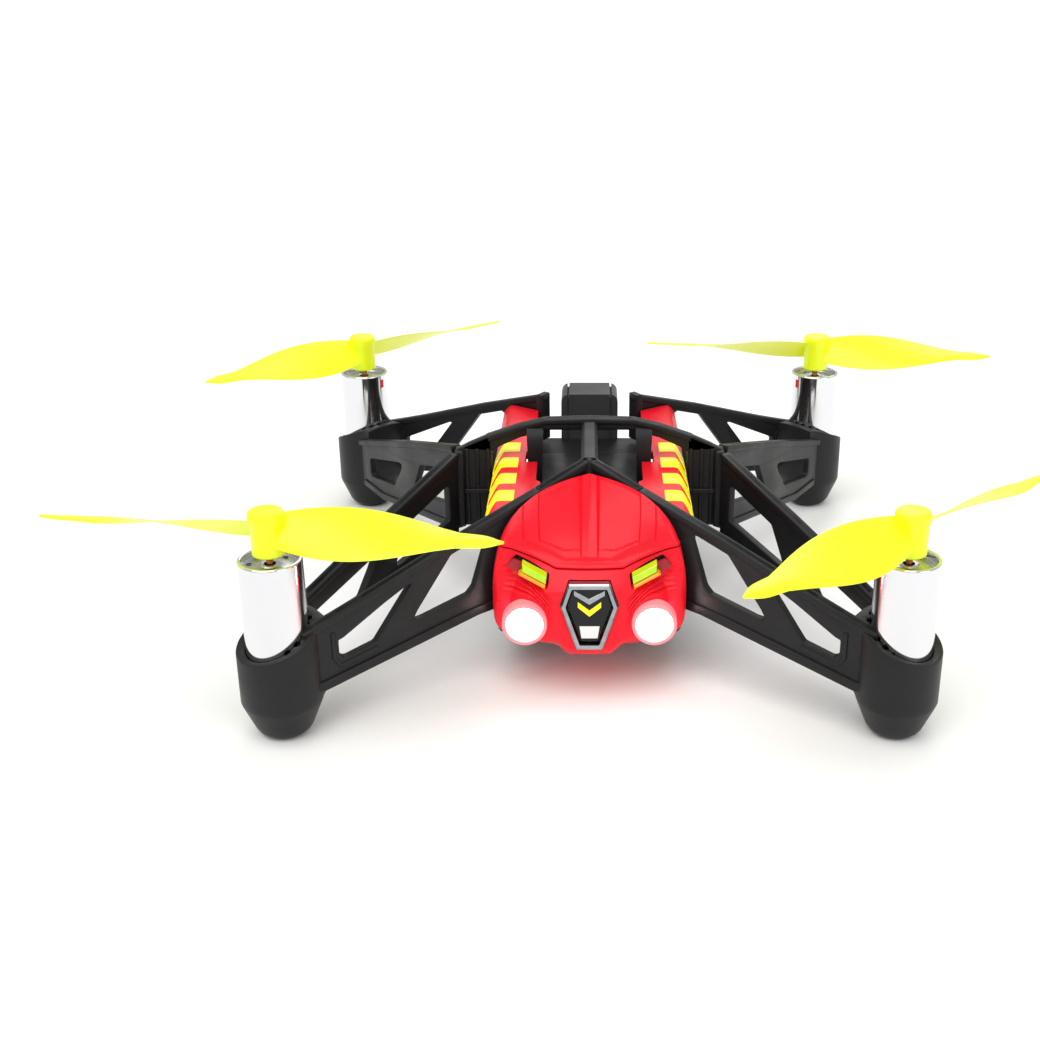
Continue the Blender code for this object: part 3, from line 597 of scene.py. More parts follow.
def bulkhead(side):
    """Half of the front bulkhead; its top rail climbs to the apex above the nose."""
    low, step = 8.4, OUTER_END + 0.06
    top = [(step, 29.45), (APEX_S, 32.5)]
    outline = [(LOW_END + 1, low), (LOW_END + 1, 18), (LOW_END + 1.5, 20.2), (step, 20.2), *top, (APEX_S, low)]
    window = [(36, 11.5), (44.5, 11.5), (44.5, 18), (36, 18)]
    return truss(OUTER_START, OUTER_DIR, (side, 1), outline, [window], [(top, -1.3, 1.85)])


def gusset(side):
    """A curved bracket that drops from the arch to the side panel's inner edge."""
    loops = []
    for z, back, half in ((31.3, -1, 1.35), (30.6, -1.9, 1.35), (29.4, -2.5, 1.3), (27.6, -2.7, 1.2),
                          (22, -2.7, 1.15)):
        low, high = side * GUSSET_X - half, side * GUSSET_X + half
        loops.append([(low, back, z), (high, back + 0.3, z), (high, 0.6, z), (low, 0.6, z)])
    return skin(loops)


def centre_frame():
    spine = [(-1.3, 29.7), (1.3, 29.7), (1.3, 32), (0.8, 32.5), (-0.8, 32.5), (-1.3, 32)]
    parts = arch_plates() + bulkhead(1) + bulkhead(-1)
    parts += [block((-1.1, -19.3, 8.5), (1.1, -17.7, 32.2), 0.3), extrude_y(rounded(spine, 0.25), -18.3, 0.4)]
    parts += [gusset(side) for side in (-1, 1)]
    settle([paint(part, "frame") for part in parts], "truss_centre", "centre_frame")


# -------- hood and nose

# Sections of the nose from its face to the V of the front walls: half width, bottom, top, y, blend to the V
SECTIONS = [(9.6, 8.9, 17.6, -36.3, 0), (11.3, 8, 18.7, -35.6, 0), (12.5, 7.3, 19.8, -34.6, 0),
            (13.4, 6.9, 21.3, -34.2, 0.12), (14.1, 6.7, 24.3, -34.2, 0.4), (14.5, 6.6, 27.8, -34.2, 0.72),
            (14.4, 6.6, 30.5, -34.2, 1)]
SHELL, SEAM_GAP, RIM_SHIFT = 1, 0.26, 1.45
MIDDLE_Z, DISC_Z, NOSE_CURVE, NOSE_LEAN = 15, 13.25, 0.012, 0.16
CHIN_HALF, CHIN_RUN, CHIN_LIFT = 2.8, 2.6, 1.45
SEAM = [(0, 20.1), (5, 20.1), (11.8, 22.5), (15.5, 23.2)]
PANEL_EDGE = [(0, 22), (3.9, 22.1), (7.5, 23.4), (15, 26.2)]
PLATEAU_EDGE = [(0, 20.95), (3.6, 20.95), (9.75, 23.5), (15, 25.7)]
RIB_SIDE, PANEL_SIDE, FOLD = (0.085, 0.102), (0.515, 0.535), (0.672, 0.695)   # slopes, over the half width
GILLS, GILL_INNER, GILL_OUTER, GILL_CENTRE = 4, 5, 13.8, Vector((0, -24, 15.5))


def along(points, value):
    """Height of a polyline of (value, height) points."""
    for (x0, z0), (x1, z1) in zip(points, points[1:]):
        if value <= x1:
            return z0 + (value - x0) / (x1 - x0) * (z1 - z0)
    return points[-1][1]


def section_at(place):
    """Smoothly interpolated section at place 0..len(SECTIONS)-1."""
    i = min(int(place), len(SECTIONS) - 2)
    t = place - i
    a, b, c, d = (SECTIONS[min(max(k, 0), len(SECTIONS) - 1)] for k in (i - 1, i, i + 1, i + 2))
    out = []
    for p0, p1, p2, p3 in zip(a, b, c, d):
        out.append(0.5 * (2 * p1 + (p2 - p0) * t + (2 * p0 - 5 * p1 + 4 * p2 - p3) * t * t
                          + (3 * p1 - p0 - 3 * p2 + p3) * t ** 3))
    return out


def ring_columns(fine):
    """Unit directions (c, s) round a section, dense where the hood's rib and panels have their edges."""
    count = 72 if fine else 24
    values = {round(sin(pi / 2 * k / count), 4) for k in range(-count, count + 1)}
    if fine:
        for feature in (*RIB_SIDE, *PANEL_SIDE, *FOLD):
            values = {v for v in values if abs(abs(v) - feature) > 0.006} | {feature, -feature}
    upper = [(v, 1) for v in sorted(values, reverse=True)]
    lower = []
    for k in range(1, 2 * count):
        lower.append((-cos(pi * k / (2 * count)), -1))
    return upper + lower


def hood_relief(c, x, z):
    """Height of the hood's pressed features at a point: rib, sunken panels, and the plateau that holds them."""
    c, x = abs(c), abs(x)
    over_seam = z - along(SEAM, x)
    plateau = ramp(0, 0.3, z - along(PLATEAU_EDGE, x)) * (1 - ramp(*FOLD, c))
    panel = ramp(0, 0.3, z - along(PANEL_EDGE, x)) * ramp(*RIB_SIDE, c) * (1 - ramp(*PANEL_SIDE, c))
    rib = (1 - ramp(*RIB_SIDE, c)) * ramp(0.7, 1.1, over_seam)
    lip = ramp(0, 0.25, over_seam) * (1 - ramp(0.35, 0.9, over_seam))
    return 0.34 * plateau - 0.62 * panel + 0.3 * rib + 0.12 * lip


def gill_relief(x, z):
    """Depth of the sunken field between an eye and a headlight, and of the fanned grooves in it."""
    run = (abs(x) - GILL_INNER) / (GILL_OUTER - GILL_INNER)
    if not 0 < run < 1:
        return 0
    rise = sin(pi / 2 * min(1, run * 1.15))
    high = 15.6 + 4.6 * rise
    low = 11.6 + 4.9 * sin(pi / 2 * min(1, run * 1.9)) + 0.5 * run
    place = (z - low) / (high - low) * GILLS
    ends = ramp(0, 0.22, run) * (1 - ramp(0.8, 1, run))
    field = ramp(-0.3, 0.1, place) * (1 - ramp(GILLS - 0.1, GILLS + 0.3, place)) * ends
    wave = abs(place % 1 - 0.5) * 2 if 0 < place < GILLS else 0
    return -field * (0.22 + 0.36 * ramp(0.3, 0.9, wave))


def nose_solid(wall):
    """Hood and nose in one closed skin (wall 0), or the room inside them (wall > 0)."""
    fine = wall == 0
    columns = ring_columns(fine)
    loops = []

    def ring(section, scale=1):
        half, low, high, y, blend = section
        half, low, high, y = half - wall, low + wall, high - wall, y + wall * (1 - blend)
        loop = []
        for c, side in columns:
            power = 2.7 if side > 0 else 4
            s = side * max(0, 1 - abs(c) ** power) ** (1 / power)
            reach = high - MIDDLE_Z if s > 0 else MIDDLE_Z - low
            z = MIDDLE_Z + reach * s
            if s < 0:
                z += CHIN_LIFT * ramp(CHIN_HALF, CHIN_HALF + CHIN_RUN, abs(half * c)) * s * s * (1 - blend)
            x, z = half * c * scale, DISC_Z + (z - DISC_Z) * scale
            y_here = (1 - blend) * y + blend * front_plane(x, RIM_SHIFT)
            y_here += (NOSE_CURVE * x * x + NOSE_LEAN * (z - 8)) * (1 - blend) ** 2
            loop.append(Vector((x, y_here, z)))
        loops.append(loop)

    disc, steps = (40, 96) if fine else (8, 24)
    for k in range(1, disc):
        ring(SECTIONS[0], k / disc)
    for k in range(steps + 1):
        ring(section_at((len(SECTIONS) - 1) * k / steps))
    back = front_plane(0, RIM_SHIFT)
    if fine:
        loops = [[press(loops, i, j, columns) for j in range(len(columns))] for i in range(len(loops))]
    else:
        loops.append([Vector((x, y + 3, z)) for x, y, z in loops[-1]])
        back += 3
    loops.append([(0, back, p.z) for p in loops[-1]])        # a ridge, so that two flat halves close the back
    bm = bmesh.new()
    bm.faces.new(bridge(bm, loops)[0])
    bmesh.ops.remove_doubles(bm, verts=bm.verts, dist=1e-5)
    return wrap(bm, 28)


def press(loops, i, j, columns):
    """A point of the nose's skin moved along its normal by the pressed features."""
    here = loops[i][j]
    ahead, back = loops[min(i + 1, len(loops) - 1)][j], loops[max(i - 1, 0)][j]
    left, right = loops[i][(j + 1) % len(columns)], loops[i][j - 1]
    normal = (ahead - back).cross(left - right).normalized()
    if normal.dot(here - Vector((0, -20, 14))) < 0:
        normal = -normal
    c, side = columns[j]
    rings_left = len(loops) - 1 - i
    there = here
    if side > 0 and here.z > along(SEAM, abs(here.x)) - 0.1:
        there = here + normal * hood_relief(c, here.x, here.z) * min(1, rings_left / 2)
    elif here.y < -28:
        there = here + (here - GILL_CENTRE).normalized() * gill_relief(here.x, here.z)
    rim_y = front_plane(there.x, RIM_SHIFT)
    there.y = min(there.y, rim_y - 0.06 * rings_left) if rings_left else rim_y
    return there


def seam_cutter(above):
    """Everything above the seam or below it, less half of the seam's gap."""
    shift, far = (-SEAM_GAP / 2, 45) if above else (SEAM_GAP / 2, -45)
    edge = [(x, along(SEAM, abs(x)) + shift) for x in (-15.8, -11.8, -5, 5, 11.8, 15.8)]
    return extrude_y(edge + [(15.8, far), (-15.8, far)], -60, 0)


def badge_outline(grow):
    right = [(3.05 + 0.6 * grow, 18.9 + grow), (4.3 + grow, 15.4), (1.9 + 0.6 * grow, 8.9 - grow)]
    return rounded(right + [(-x, z) for x, z in right[::-1]], 0.35)


# Drawn for the left (-X) eye
EYE_SLOT = [(-5.9, 19.5), (-6.2, 17.5), (-11.2, 20.1), (-11.8, 20.8), (-10.9, 21.7)]
EYE_LENS = [(-6.3, 19.65), (-6.45, 18.5), (-9.9, 20.2), (-9.9, 21.45)]
EYE_STRIP = [(-6.5, 18.35), (-6.6, 17.8), (-10.5, 19.8), (-10.1, 20.15)]


def mirrored(points, side):
    """An outline drawn for the left (-X) side, for either side."""
    return [(-side * x, z) for x, z in points]


def hood():
    shell = cut(nose_solid(0), nose_solid(SHELL), seam_cutter(False))
    settle([paint(shell, "red")], "hood", "hood_shell")


def headlight(side, profile):
    """A lathe piece on a headlight's axis; its heights count toward the front."""
    made = lathe(profile)
    made.data.transform(Matrix.Rotation(pi / 2, 4, "X"))
    made.data.transform(Matrix.Translation((side * HEADLIGHT_X * MM, 0, HEADLIGHT_Z * MM)))
    return made


def nose():
    r = HEADLIGHT_RADIUS
    tools = [nose_solid(SHELL), extrude_y(badge_outline(0.1), -45.5, -32)]
    for side in (-1, 1):
        tools.append(headlight(side, [(0, 30), (r + 0.3, 30), (r + 0.3, 45), (0, 45)]))
        tools.append(extrude_y(rounded(mirrored(EYE_SLOT, side), 0.35), -46, -26.3))
    tools.append(seam_cutter(True))
    parts = [paint(cut(nose_solid(0), *tools), "red")]
    # Bezel ring round each headlight, painted with the headlight's glow as painted light
    bezel = [(r + 0.1, 33.6)] + arc((r + 0.425, 35.475), 0.325, 180, 0, 10) + [(r + 0.75, 33.6)]
    for side in (-1, 1):
        # A dark red plate behind each eye slot: painted shade for the inside of the slot
        pocket = [(x * 1.03, z) for x, z in mirrored(EYE_SLOT, side)]
        parts += [paint(headlight(side, bezel), "halo"), paint(extrude_y(pocket, -32.1, -31.6), "red_painted_shade")]
    settle(parts, "nose", "nose_shell")


def face_lean(x, z):
    """How far the nose's face leans back at a point."""
    return NOSE_LEAN * (z - 8)


def eye_lean(x, z):
    """How far an eye lens sweeps back toward the side of the nose."""
    return 0.18 * (abs(x) - 6.5)


def leaning(outline, front, back, edge=0, lean=face_lean):
    """A plate that leans back, with a small chamfer on its front edge."""
    outline = anticlockwise(outline)
    layers = [(front, inset(outline, edge))] if edge else []
    layers += [(front + edge, outline), (back, outline)]
    return skin([[(x, y + lean(x, z), z) for x, z in points] for y, points in layers])


def badge():
    bezel = leaning(badge_outline(0), -36.75, -34.7, 0.22)
    cut(bezel, leaning(badge_outline(-0.75), -40, -30))
    settle([paint(bezel, "badge")], "badge_bezel_ring", "badge_bezel")
    parts = [paint(leaning(badge_outline(-1), -36.05, -35, 0.1), "badge_black")]
    for z, width, key in ((16.9, 1, "badge"), (15.1, 0.75, "yellow")):
        chevron = [(-2.3, 0.9), (0, -0.4), (2.3, 0.9), (2.3, 0.1), (0, -1.3), (-2.3, 0.1)]
        parts.append(paint(leaning([(x * width, z + rise) for x, rise in chevron], -36.25, -35.9, 0.05), key))
    bar = [(-1.5, 12.3), (1.5, 12.3), (1.2, 10.5), (-1.2, 10.5)]
    parts.append(paint(leaning(bar, -36.25, -35.9, 0.05), "white"))
    settle(parts, "badge_face", "badge_insert")


def headlights_and_eyes():
    r = HEADLIGHT_RADIUS
    dome = [(0, 33.2), (r, 33.2), (r, 34.5)]
    for k in range(1, 9):
        a = pi / 2 * k / 8
        dome.append((r * cos(a) if k < 8 else 0, 34.5 + 1.25 * sin(a)))
    for name, side in SIDES.items():
        lens = paint(headlight(side, dome), "lamp")
        settle([lens], "headlight_dome_" + name, "headlight_lens_" + name)
        # Eye lens and strip, both carrying a faint painted glow in their materials
        lime = leaning(mirrored(EYE_LENS, side), -34.1, -32.2, 0.12, eye_lean)
        strip = leaning(mirrored(EYE_STRIP, side), -34.3, -32.3, 0.12, eye_lean)
        settle([paint(lime, "lime"), paint(strip, "amber")], "eye_light_" + name, "eye_lens_" + name)


# -------- side panels

PANEL_TOP, PANEL_OUT = 26.3, 15.9
STRIPE_PITCH, STRIPE_WIDTH, STRIPE_START, STRIPE_INNER = 7.3, 4.4, 5.6, 11.7
STRIPE_LENGTH, STRIPE_BEND = 5.6, 2.6        # how far a stripe runs over the panel, and where it bends forward
STRIPE_SWEEP = 1.7                           # how far it then runs forward for each millimetre down the chamfer


def panel_path(side):
    """Outer surface of a panel's section from its inner edge outward, as (x, z) points."""
    points = [(7.8, PANEL_TOP), (13.6, PANEL_TOP), (14.4, 26.2), (14.9, 25.8), (15.75, 24.7), (PANEL_OUT, 24.1),
              (PANEL_OUT, 21)]
    return [(side * x, z) for x, z in points]


def surface_point(side, run, lift):
    """Point of the panel's outer surface at a distance from the stripes' inner edge, moved out by lift."""
    path = [Vector(p) for p in panel_path(side)]
    path[0] = Vector((side * STRIPE_INNER, PANEL_TOP))
    for a, b in zip(path, path[1:]):
        length = (b - a).length
        if run <= length or b == path[-1]:
            along_edge = (b - a).normalized()
            normal = Vector((-along_edge.y, along_edge.x)) * side
            return a + along_edge * run + normal * lift
        run -= length


def stripe(side, number):
    """One yellow stripe: level across the panel's top, then swept forward down its chamfer."""
    back, steps = STRIPE_START - number * STRIPE_PITCH, 24
    front = back - STRIPE_WIDTH
    rows = []
    for k in range(steps + 1):
        run = STRIPE_LENGTH * k / steps
        sweep = STRIPE_SWEEP * max(0, run - STRIPE_BEND)
        loop = []
        for y, lift in ((back, -0.02), (back, 0.08), (back - 0.06, 0.12), (front + 0.06, 0.12), (front, 0.08),
                        (front, -0.02)):
            point = surface_point(side, run, lift)
            loop.append((point.x, y - sweep, point.y))
        rows.append(loop)
    return skin(rows, 30)


def panel_plan(side, shrink=0):
    """Plan outline of a side panel, with its stepped inner edge; its ends follow the truss walls."""
    clearance = 1.2 + shrink
    front = [(x, front_plane(x, -clearance)) for x in (20, 7.8)]
    rear = [(x, -front_plane(x, -clearance)) for x in (9.3, 20)]
    steps = [(7.8, -12.6), (8.3, -12), (8.6, -11.6), (8.6, -3.5), (10.6, -3.5), (10.6, 1.4), (9.3, 1.4)]
    return [(side * x, y) for x, y in front + steps + rear]


def side_panels():
    for name, side in SIDES.items():
        inner = [(side * x, z) for x, z in ((14.8, 21), (14.8, 23.4), (13.8, 24.9), (7.8, 24.9))]
        panel = extrude_y(panel_path(side) + inner, -30, 29)
        edit(panel, lambda bm: bmesh.ops.triangulate(bm, faces=bm.faces))
        carve(panel, "INTERSECT", extrude_z(panel_plan(side), 15, 30))
        edge = panel.modifiers.new("edge", "BEVEL")
        edge.width, edge.segments, edge.limit_method, edge.angle_limit = 0.22 * MM, 2, "ANGLE", radians(50)
        apply_modifiers(panel)
        soften(panel.data, 28)
        parts = [paint(panel, "red")]
        for number in range(4):
            strip = carve(stripe(side, number), "INTERSECT", extrude_z(panel_plan(side, 0.05), 15, 30))
            parts.append(paint(strip, "yellow"))
        settle(parts, "striped_panel_" + name, "side_panel_" + name)


# -------- body tub and belly

TUB_HALF, TUB_WALL, TUB_FLOOR, TUB_SHIFT = 14.3, 1.3, 7.1, -1.2
TUB_BOTTOM, TUB_TOP, TUB_REAR, TUB_TAIL, TAIL_TOP = TUB_LOW.z, TUB_HIGH.z, 21.8, TUB_HIGH.y, 20


def tub_plan(half, shift, tail):
    side_front, middle_front = front_plane(half, shift), front_plane(0, shift)
    plan = [(-half, tail), (-half, side_front), (0, middle_front), (half, side_front), (half, tail)]
    return rounded(plan, 1.2, 5)


def tub_body():
    loops = []
    for back, lift in ((0.9, 0), (0.45, 0.12), (0.15, 0.4), (0, 0.9), (0, TUB_TOP - TUB_BOTTOM)):
        plan = tub_plan(TUB_HALF - back, TUB_SHIFT - back, TUB_TAIL - back)
        loops.append([(x, y, TUB_BOTTOM + lift) for x, y in plan])
    tools = [extrude_z(tub_plan(TUB_HALF - TUB_WALL, TUB_SHIFT - TUB_WALL, 45), TUB_FLOOR, 40),
             extrude_z([(-20, TUB_REAR), (20, TUB_REAR), (20, 50), (-20, 50)], TAIL_TOP, 40)]
    for centre, r in PORTS.values():
        profile = [(0, 4), (r + 0.75, 4), (r + 0.25, TUB_BOTTOM + 0.45), (r + 0.25, 9), (0, 9)]
        tools.append(lathe(profile, centre, 64))
    for centre in SCREWS.values():
        profile = [(0, 4), (1.8, 4), (1.4, TUB_BOTTOM + 0.35), (1.4, 6.4), (0.8, 6.4), (0.8, 9), (0, 9)]
        tools.append(lathe(profile, centre, 40))
    tools.append(extrude_y([(-6, 12), (6, 12), (6, 18), (-6, 18)], -26, -10))
    for y in (-12, 11.5):
        tools.append(block((-20, y - 0.2, 4), (20, y + 0.2, TUB_BOTTOM + 0.3), 0.1, 1))
    for side in (-1, 1):
        for z in (10.5, 12, 13.5, 15):
            tools.append(block((side * 13.9, -6, z - 0.3), (side * 15, 9, z + 0.3), 0.25, 2))
        tools.append(block((side * 14.05, -40, 17.6), (side * 15, 40, 17.95), 0.1, 1))
    return cut(skin(loops), *tools)


def tub():
    parts = [tub_body()]
    for centre, r in PORTS.values():
        parts.append(lathe([(r + 0.35, 6.6), (r + 0.35, 5.95), (r + 0.5, 5.85), (r + 0.75, 5.85), (r + 0.9, 5.95),
                            (r + 0.9, 6.6)], centre, 64))
    for side in (-1, 1):
        parts.append(block((side * 12.4, -12, 5.75), (side * 13, 18, 6.2), 0.12))
    settle([paint(part, "tub") for part in parts], "lower_body", "body_tub")


def belly_parts():
    centre, r = PORTS["camera_module"]
    dome = [(0, 8), (r, 8), (r, 6.1), (r - 0.2, 5.9), (1.75, 5.9), (1.55, 6.1)]
    dome += [(1.5 * cos(a), 6.25 - 0.3 * sin(a)) for a in (pi / 2 * k / 6 for k in range(6))]
    settle([paint(lathe(dome + [(0, 5.95)], centre, 64), "glass")], "belly_lens", "camera_module")
    for name in SIDES:
        centre, r = PORTS["sonar_" + name]
        parts = [lathe([(0, 8), (r, 8), (r, 6), (r - 0.2, 5.8), (r - 0.45, 5.8), (r - 0.6, 6), (r - 0.6, 6.3),
                        (0, 6.3)], centre, 64)]
        for k in range(5):
            off = k - 2
            half = sqrt(max(0.2, (r - 0.55) ** 2 - off ** 2))
            for wide, deep, x, y, low in ((0.12, half, off, 0, 5.95), (half, 0.12, 0, off, 5.97)):
                x, y = centre.x + x, centre.y + y
                parts.append(block((x - wide, y - deep, low), (x + wide, y + deep, low + 0.25), 0.05, 1))
        settle([paint(part, "steel") for part in parts], "sonar_grille_" + name, "sonar_" + name)
    centre, r = PORTS["power_button"]
    cap = [(0, 7), (r, 7), (r, 5.55), (r - 0.12, 5.35), (r - 0.4, 5.22), (1, 5.28), (0.6, 5.36), (0, 5.38)]
    settle([paint(lathe(cap, centre, 64), "rubber")], "button_cap", "power_button", "button")
    head = [(0, 8), (0.5, 8), (0.5, 6.15), (1.1, 6.1), (1.1, 5.95), (0.95, 5.85), (0, 5.82)]
    for node, centre in SCREWS.items():
        tools = [block((centre.x - dx, centre.y - dy, 5), (centre.x + dx, centre.y + dy, 6), 0.05, 1)
                 for dx, dy in ((0.65, 0.14), (0.14, 0.65))]
        settle([paint(cut(lathe(head, centre, 48), *tools), "steel")], node.replace("belly_", ""), node)


def socket():
    low, high = node_box("usb_socket")
    shell = block(low, high, 0.45, 4)
    cut(shell, block((low.x + 0.4, low.y + 0.7, low.z + 0.4), (high.x - 0.4, high.y + 2, high.z - 0.4), 0.3, 3))
    tongue = block((-2.2, low.y + 0.3, low.z + 1), (2.2, high.y - 0.8, low.z + 1.5), 0.1, 2)
    settle([paint(shell, "steel"), paint(tongue, "plastic")], "charging_socket", "usb_socket")


GRIP_HALF, CASE_REAR, CASE_TOP = 5.2, 27, 19.8
GRIP_REAR, GRIP_TOP = BATTERY_HIGH.y, BATTERY_HIGH.z


def battery():
    half, front, bottom = BATTERY_HIGH.x, BATTERY_LOW.y, BATTERY_LOW.z
    case = block((-half, front, bottom), (half, CASE_REAR, CASE_TOP), 0.7, 4)
    cut(case, block((1 - half, front + 1, 5), (half - 1, CASE_REAR - 1.5, CASE_TOP - 1), 0.3, 2))
    loops = []
    for y, back in ((CASE_REAR - 1, 0), (GRIP_REAR - 0.9, 0), (GRIP_REAR - 0.35, 0.12), (GRIP_REAR - 0.1, 0.4),
                    (GRIP_REAR, 0.9)):
        wide, low, high = GRIP_HALF - back, bottom + back, GRIP_TOP - back
        outline = [(-wide, low), (wide, low), (wide, high), (-wide, high)]
        loops.append([(x, y, z) for x, z in rounded(outline, 1.7, 7)])
    tools = [block((side * 3.75, 20, 12), (side * 4.1, 40, 40), 0.1, 1) for side in (-1, 1)]
    for k in range(6):
        z = 13 + 2.3 * k
        tools.append(block((-3, GRIP_REAR - 0.35, z), (3, GRIP_REAR + 1, z + 0.9), 0.2, 2))
    grip = shallow_grooves(skin(loops), tools)
    label = block((-8.5, -8, CASE_TOP - 0.1), (8.5, 18, CASE_TOP + 0.08), 0.08, 2)
    parts = [paint(case, "tub"), paint(grip, "battery"), paint(label, "label")]
    for x in (-4.4, -2.2, 0, 2.2, 4.4):
        parts.append(paint(block((x - 0.7, front - 0.12, 12), (x + 0.7, front + 0.3, 15.5), 0.08, 2), "gold"))
    settle(parts, "battery_pack", "battery_case", "battery")


def shallow_grooves(grip, tools):
    """Cut the grip's grooves only skin deep: a slightly smaller copy is taken from the tools first."""
    core = add_object(grip.data.copy())
    centre = Vector((0, 30 * MM, 19 * MM))
    for vertex in core.data.vertices:
        vertex.co = centre + (vertex.co - centre) * 0.94
    for tool in tools:
        boolean(tool, "DIFFERENCE", core)
    remove(core)
    return cut(grip, *tools)


# -------- motors and propellers

def motor(name, corner):
    hub = HUBS[name]
    r, low, high = CAN_RADIUS, CAN_LOW, CAN_HIGH
    tube = [(r - 0.3, low + 0.1), (r - 0.12, low), (r, low + 0.15), (r, high - 0.35)]
    tube += arc((r - 0.3, high - 0.3), 0.3, 10, 170, 8) + [(r - 0.6, high - 1.1), (r - 0.3, high - 1.2)]
    top = high - 1
    cover = [(0.85, top - 0.35), (0.85, top + 0.15), (1.25, top + 0.2), (1.45, top), (2.5, top), (2.7, top - 0.1),
             (3.6, top - 0.1), (3.75, top + 0.05), (3.88, top + 0.05), (3.88, top - 0.35)]
    angle = atan2(corner[1], corner[0]) - 0.2 * corner[0] * corner[1]
    mark = []
    for k in range(5):
        a = angle + 0.16 * (k / 4 - 0.5)
        mark.append([(hub.x + q * cos(a), hub.y + q * sin(a), z)
                     for q, z in ((r - 0.1, top), (r + 0.03, top), (r + 0.03, top - 1.6), (r - 0.1, top - 1.6))])
    looks = (lathe(tube, hub, 96), "chrome"), (lathe(cover, hub), "end_plate"), (skin(mark), "red")
    parts = [paint(*look) for look in looks]
    vent = [(0, top - 0.2), (0.42, top - 0.2), (0.42, top - 0.06), (0.34, top - 0.02), (0, top - 0.02)]
    for turn in (0.4, 2.5, 4.6):
        a = angle + turn
        parts.append(paint(lathe(vent, (hub.x + 2.95 * cos(a), hub.y + 2.95 * sin(a)), 24), "plastic"))
    settle(parts, "plated_can_" + name, "motor_can_" + name)


PROP_RADIUS, BLADE_Z, BLADE_ROOT, HUB_RADIUS = 33, 31.6, 1.2, 2.4
AZIMUTH = {"front_left": 172, "rear_right": 172, "front_right": 40, "rear_left": 40}


def airfoil():
    """A thin cambered section as (chord place -1..1, height -1..1) points, leading edge first."""
    upper, lower, points = [], [], 11
    for k in range(points + 1):
        u = -cos(pi * k / points)
        thick = 0.62 * sqrt(max(0, 1 - u * u)) * (1 - 0.3 * u)
        camber = 0.75 * (1 - u * u)
        upper.append((u, camber + thick * 0.55))
        lower.append((u, camber - thick * 0.55))
    return upper + lower[-2:0:-1]


def blade(hub, azimuth, handed):
    """A blade from the hub outward: its chord swells and tapers, and its pitch drops toward the tip."""
    angle = radians(azimuth)
    out = Vector((cos(angle), sin(angle)))
    across = Vector((-out.y, out.x))
    loops, stations = [], 40
    for i in range(stations + 1):
        t = i / stations
        radius = BLADE_ROOT + (PROP_RADIUS - BLADE_ROOT) * t
        tip = sqrt(max(0, 1 - ramp(0.86, 1, t) ** 2 * 0.985))
        chord = (5.2 + 4.3 * sin(pi * min(1, t * 1.25)) - 2.6 * t * t) * tip
        pitch = radians(46 - 33 * min(1, t * 1.4)) * handed
        thick = 0.5 - 0.2 * t
        loop = []
        for u, v in airfoil():
            w, h = u * chord / 2, v * thick
            x, z = w * cos(pitch) - h * sin(pitch), w * sin(pitch) + h * cos(pitch)
            plan = hub.to_2d() + out * radius + across * x
            loop.append((plan.x, plan.y, BLADE_Z + z))
        loops.append(loop)
    return skin(loops, 50)


def propeller(name, corner):
    r, low, high = HUB_RADIUS, PROP_LOW, PROP_TOP
    profile = [(0, low + 4), (0.8, low + 4), (0.8, low), (r - 0.3, low), (r - 0.1, low + 0.2),
               (r - 0.1, high - 2.2), (r, high - 1.9), (r + 0.1, high - 1.6), (r + 0.1, high - 0.7)]
    profile += arc((r - 0.5, high - 0.7), 0.6, 5, 75, 6) + [(r - 0.9, high - 0.06), (0, high)]
    parts = [lathe(profile, HUBS[name], 64)]
    parts += [blade(HUBS[name], AZIMUTH[name] + turn, corner[0] * corner[1]) for turn in (0, 180)]
    settle([paint(part, "prop") for part in parts], "blades_" + name, "propeller_" + name,
           "spinner_" + name)


# -------- carried-over CAD nodes

CARRIED = {"headlight_led_left": "gold", "headlight_led_right": "gold", "battery_contacts": "gold",
           "lamp_board": "board", "main_board": "board", "battery_cell": "foil"}


def repaint_carried():
    for name in CORNERS:
        CARRIED.update({"brush_cap_" + name: "plastic", "magnet_" + name: "magnet", "rotor_" + name: "copper"})
    for name, key in CARRIED.items():
        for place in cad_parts[name].material_slots:
            place.material = SHADES[key].material


# -------- floor, light and camera

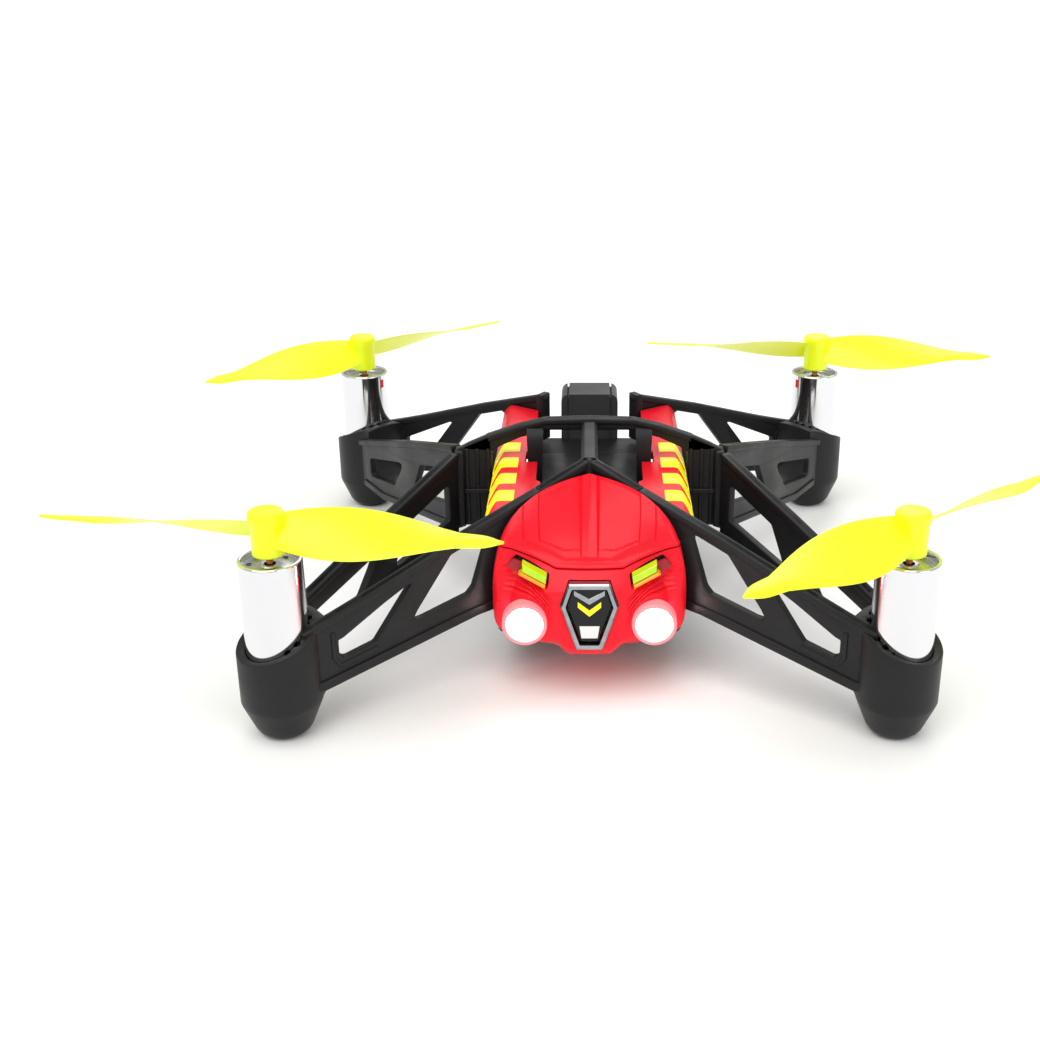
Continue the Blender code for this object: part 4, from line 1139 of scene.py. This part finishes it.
FLOOR_HALF = 30000


def floor():
    bm = bmesh.new()
    bmesh.ops.create_grid(bm, x_segments=1, y_segments=1, size=FLOOR_HALF)
    made = wrap(bm, outward=False)
    made.name = made.data.name = "floor"
    made.data.materials.append(Shade("studio_floor", (0.95, 0.95, 0.95), 0.8, specular=0.1).wear(3, 0.05).material)


def add_light(kind, place, power, **settings):
    """A light at a place in metres, aimed at the drone's middle."""
    light = bpy.data.lights.new(kind.lower(), kind)
    light.energy = power
    for key, value in settings.items():
        setattr(light, key, value)
    made = add_object(light)
    made.location = place
    made.rotation_euler = (Vector((0, 0, 0.015)) - Vector(place)).to_track_quat("-Z", "Y").to_euler()


def studio():
    floor()
    world = bpy.data.worlds.new("studio")
    world.use_nodes = True
    world.node_tree.nodes["Background"].inputs["Color"].default_value = (1, 1, 1, 1)
    world.node_tree.nodes["Background"].inputs["Strength"].default_value = 0.62
    scene = bpy.context.scene
    scene.world = world
    scene.view_settings.view_transform = "Standard"
    add_light("SUN", (-0.25, -0.45, 1), 1.75, angle=radians(55))
    for place in ((0.55, -0.5, 0.4), (0.1, 0.6, 0.5)):
        add_light("AREA", place, 1, shape="DISK", size=0.5)


# The photograph's camera, fitted to the motor cans: metres, radians and millimetres of lens
CAMERA_PLACE, CAMERA_PITCH, FOCAL_LENGTH, SHIFT_X = (0, -0.22, 0.1074), 0.4, 48.53, -0.0668


def camera():
    lens = bpy.data.cameras.new("camera")
    lens.sensor_width, lens.lens, lens.shift_x = 36, FOCAL_LENGTH, SHIFT_X
    lens.clip_start, lens.clip_end = 0.01, 20
    made = add_object(lens)
    made.location = CAMERA_PLACE
    made.rotation_euler = (pi / 2 - CAMERA_PITCH, 0, 0)
    bpy.context.scene.camera = made


def main():
    arms()
    centre_frame()
    hood()
    nose()
    badge()
    headlights_and_eyes()
    side_panels()
    tub()
    belly_parts()
    socket()
    battery()
    for name, corner in CORNERS.items():
        motor(name, corner)
        propeller(name, corner)
    repaint_carried()
    studio()
    camera()


main()
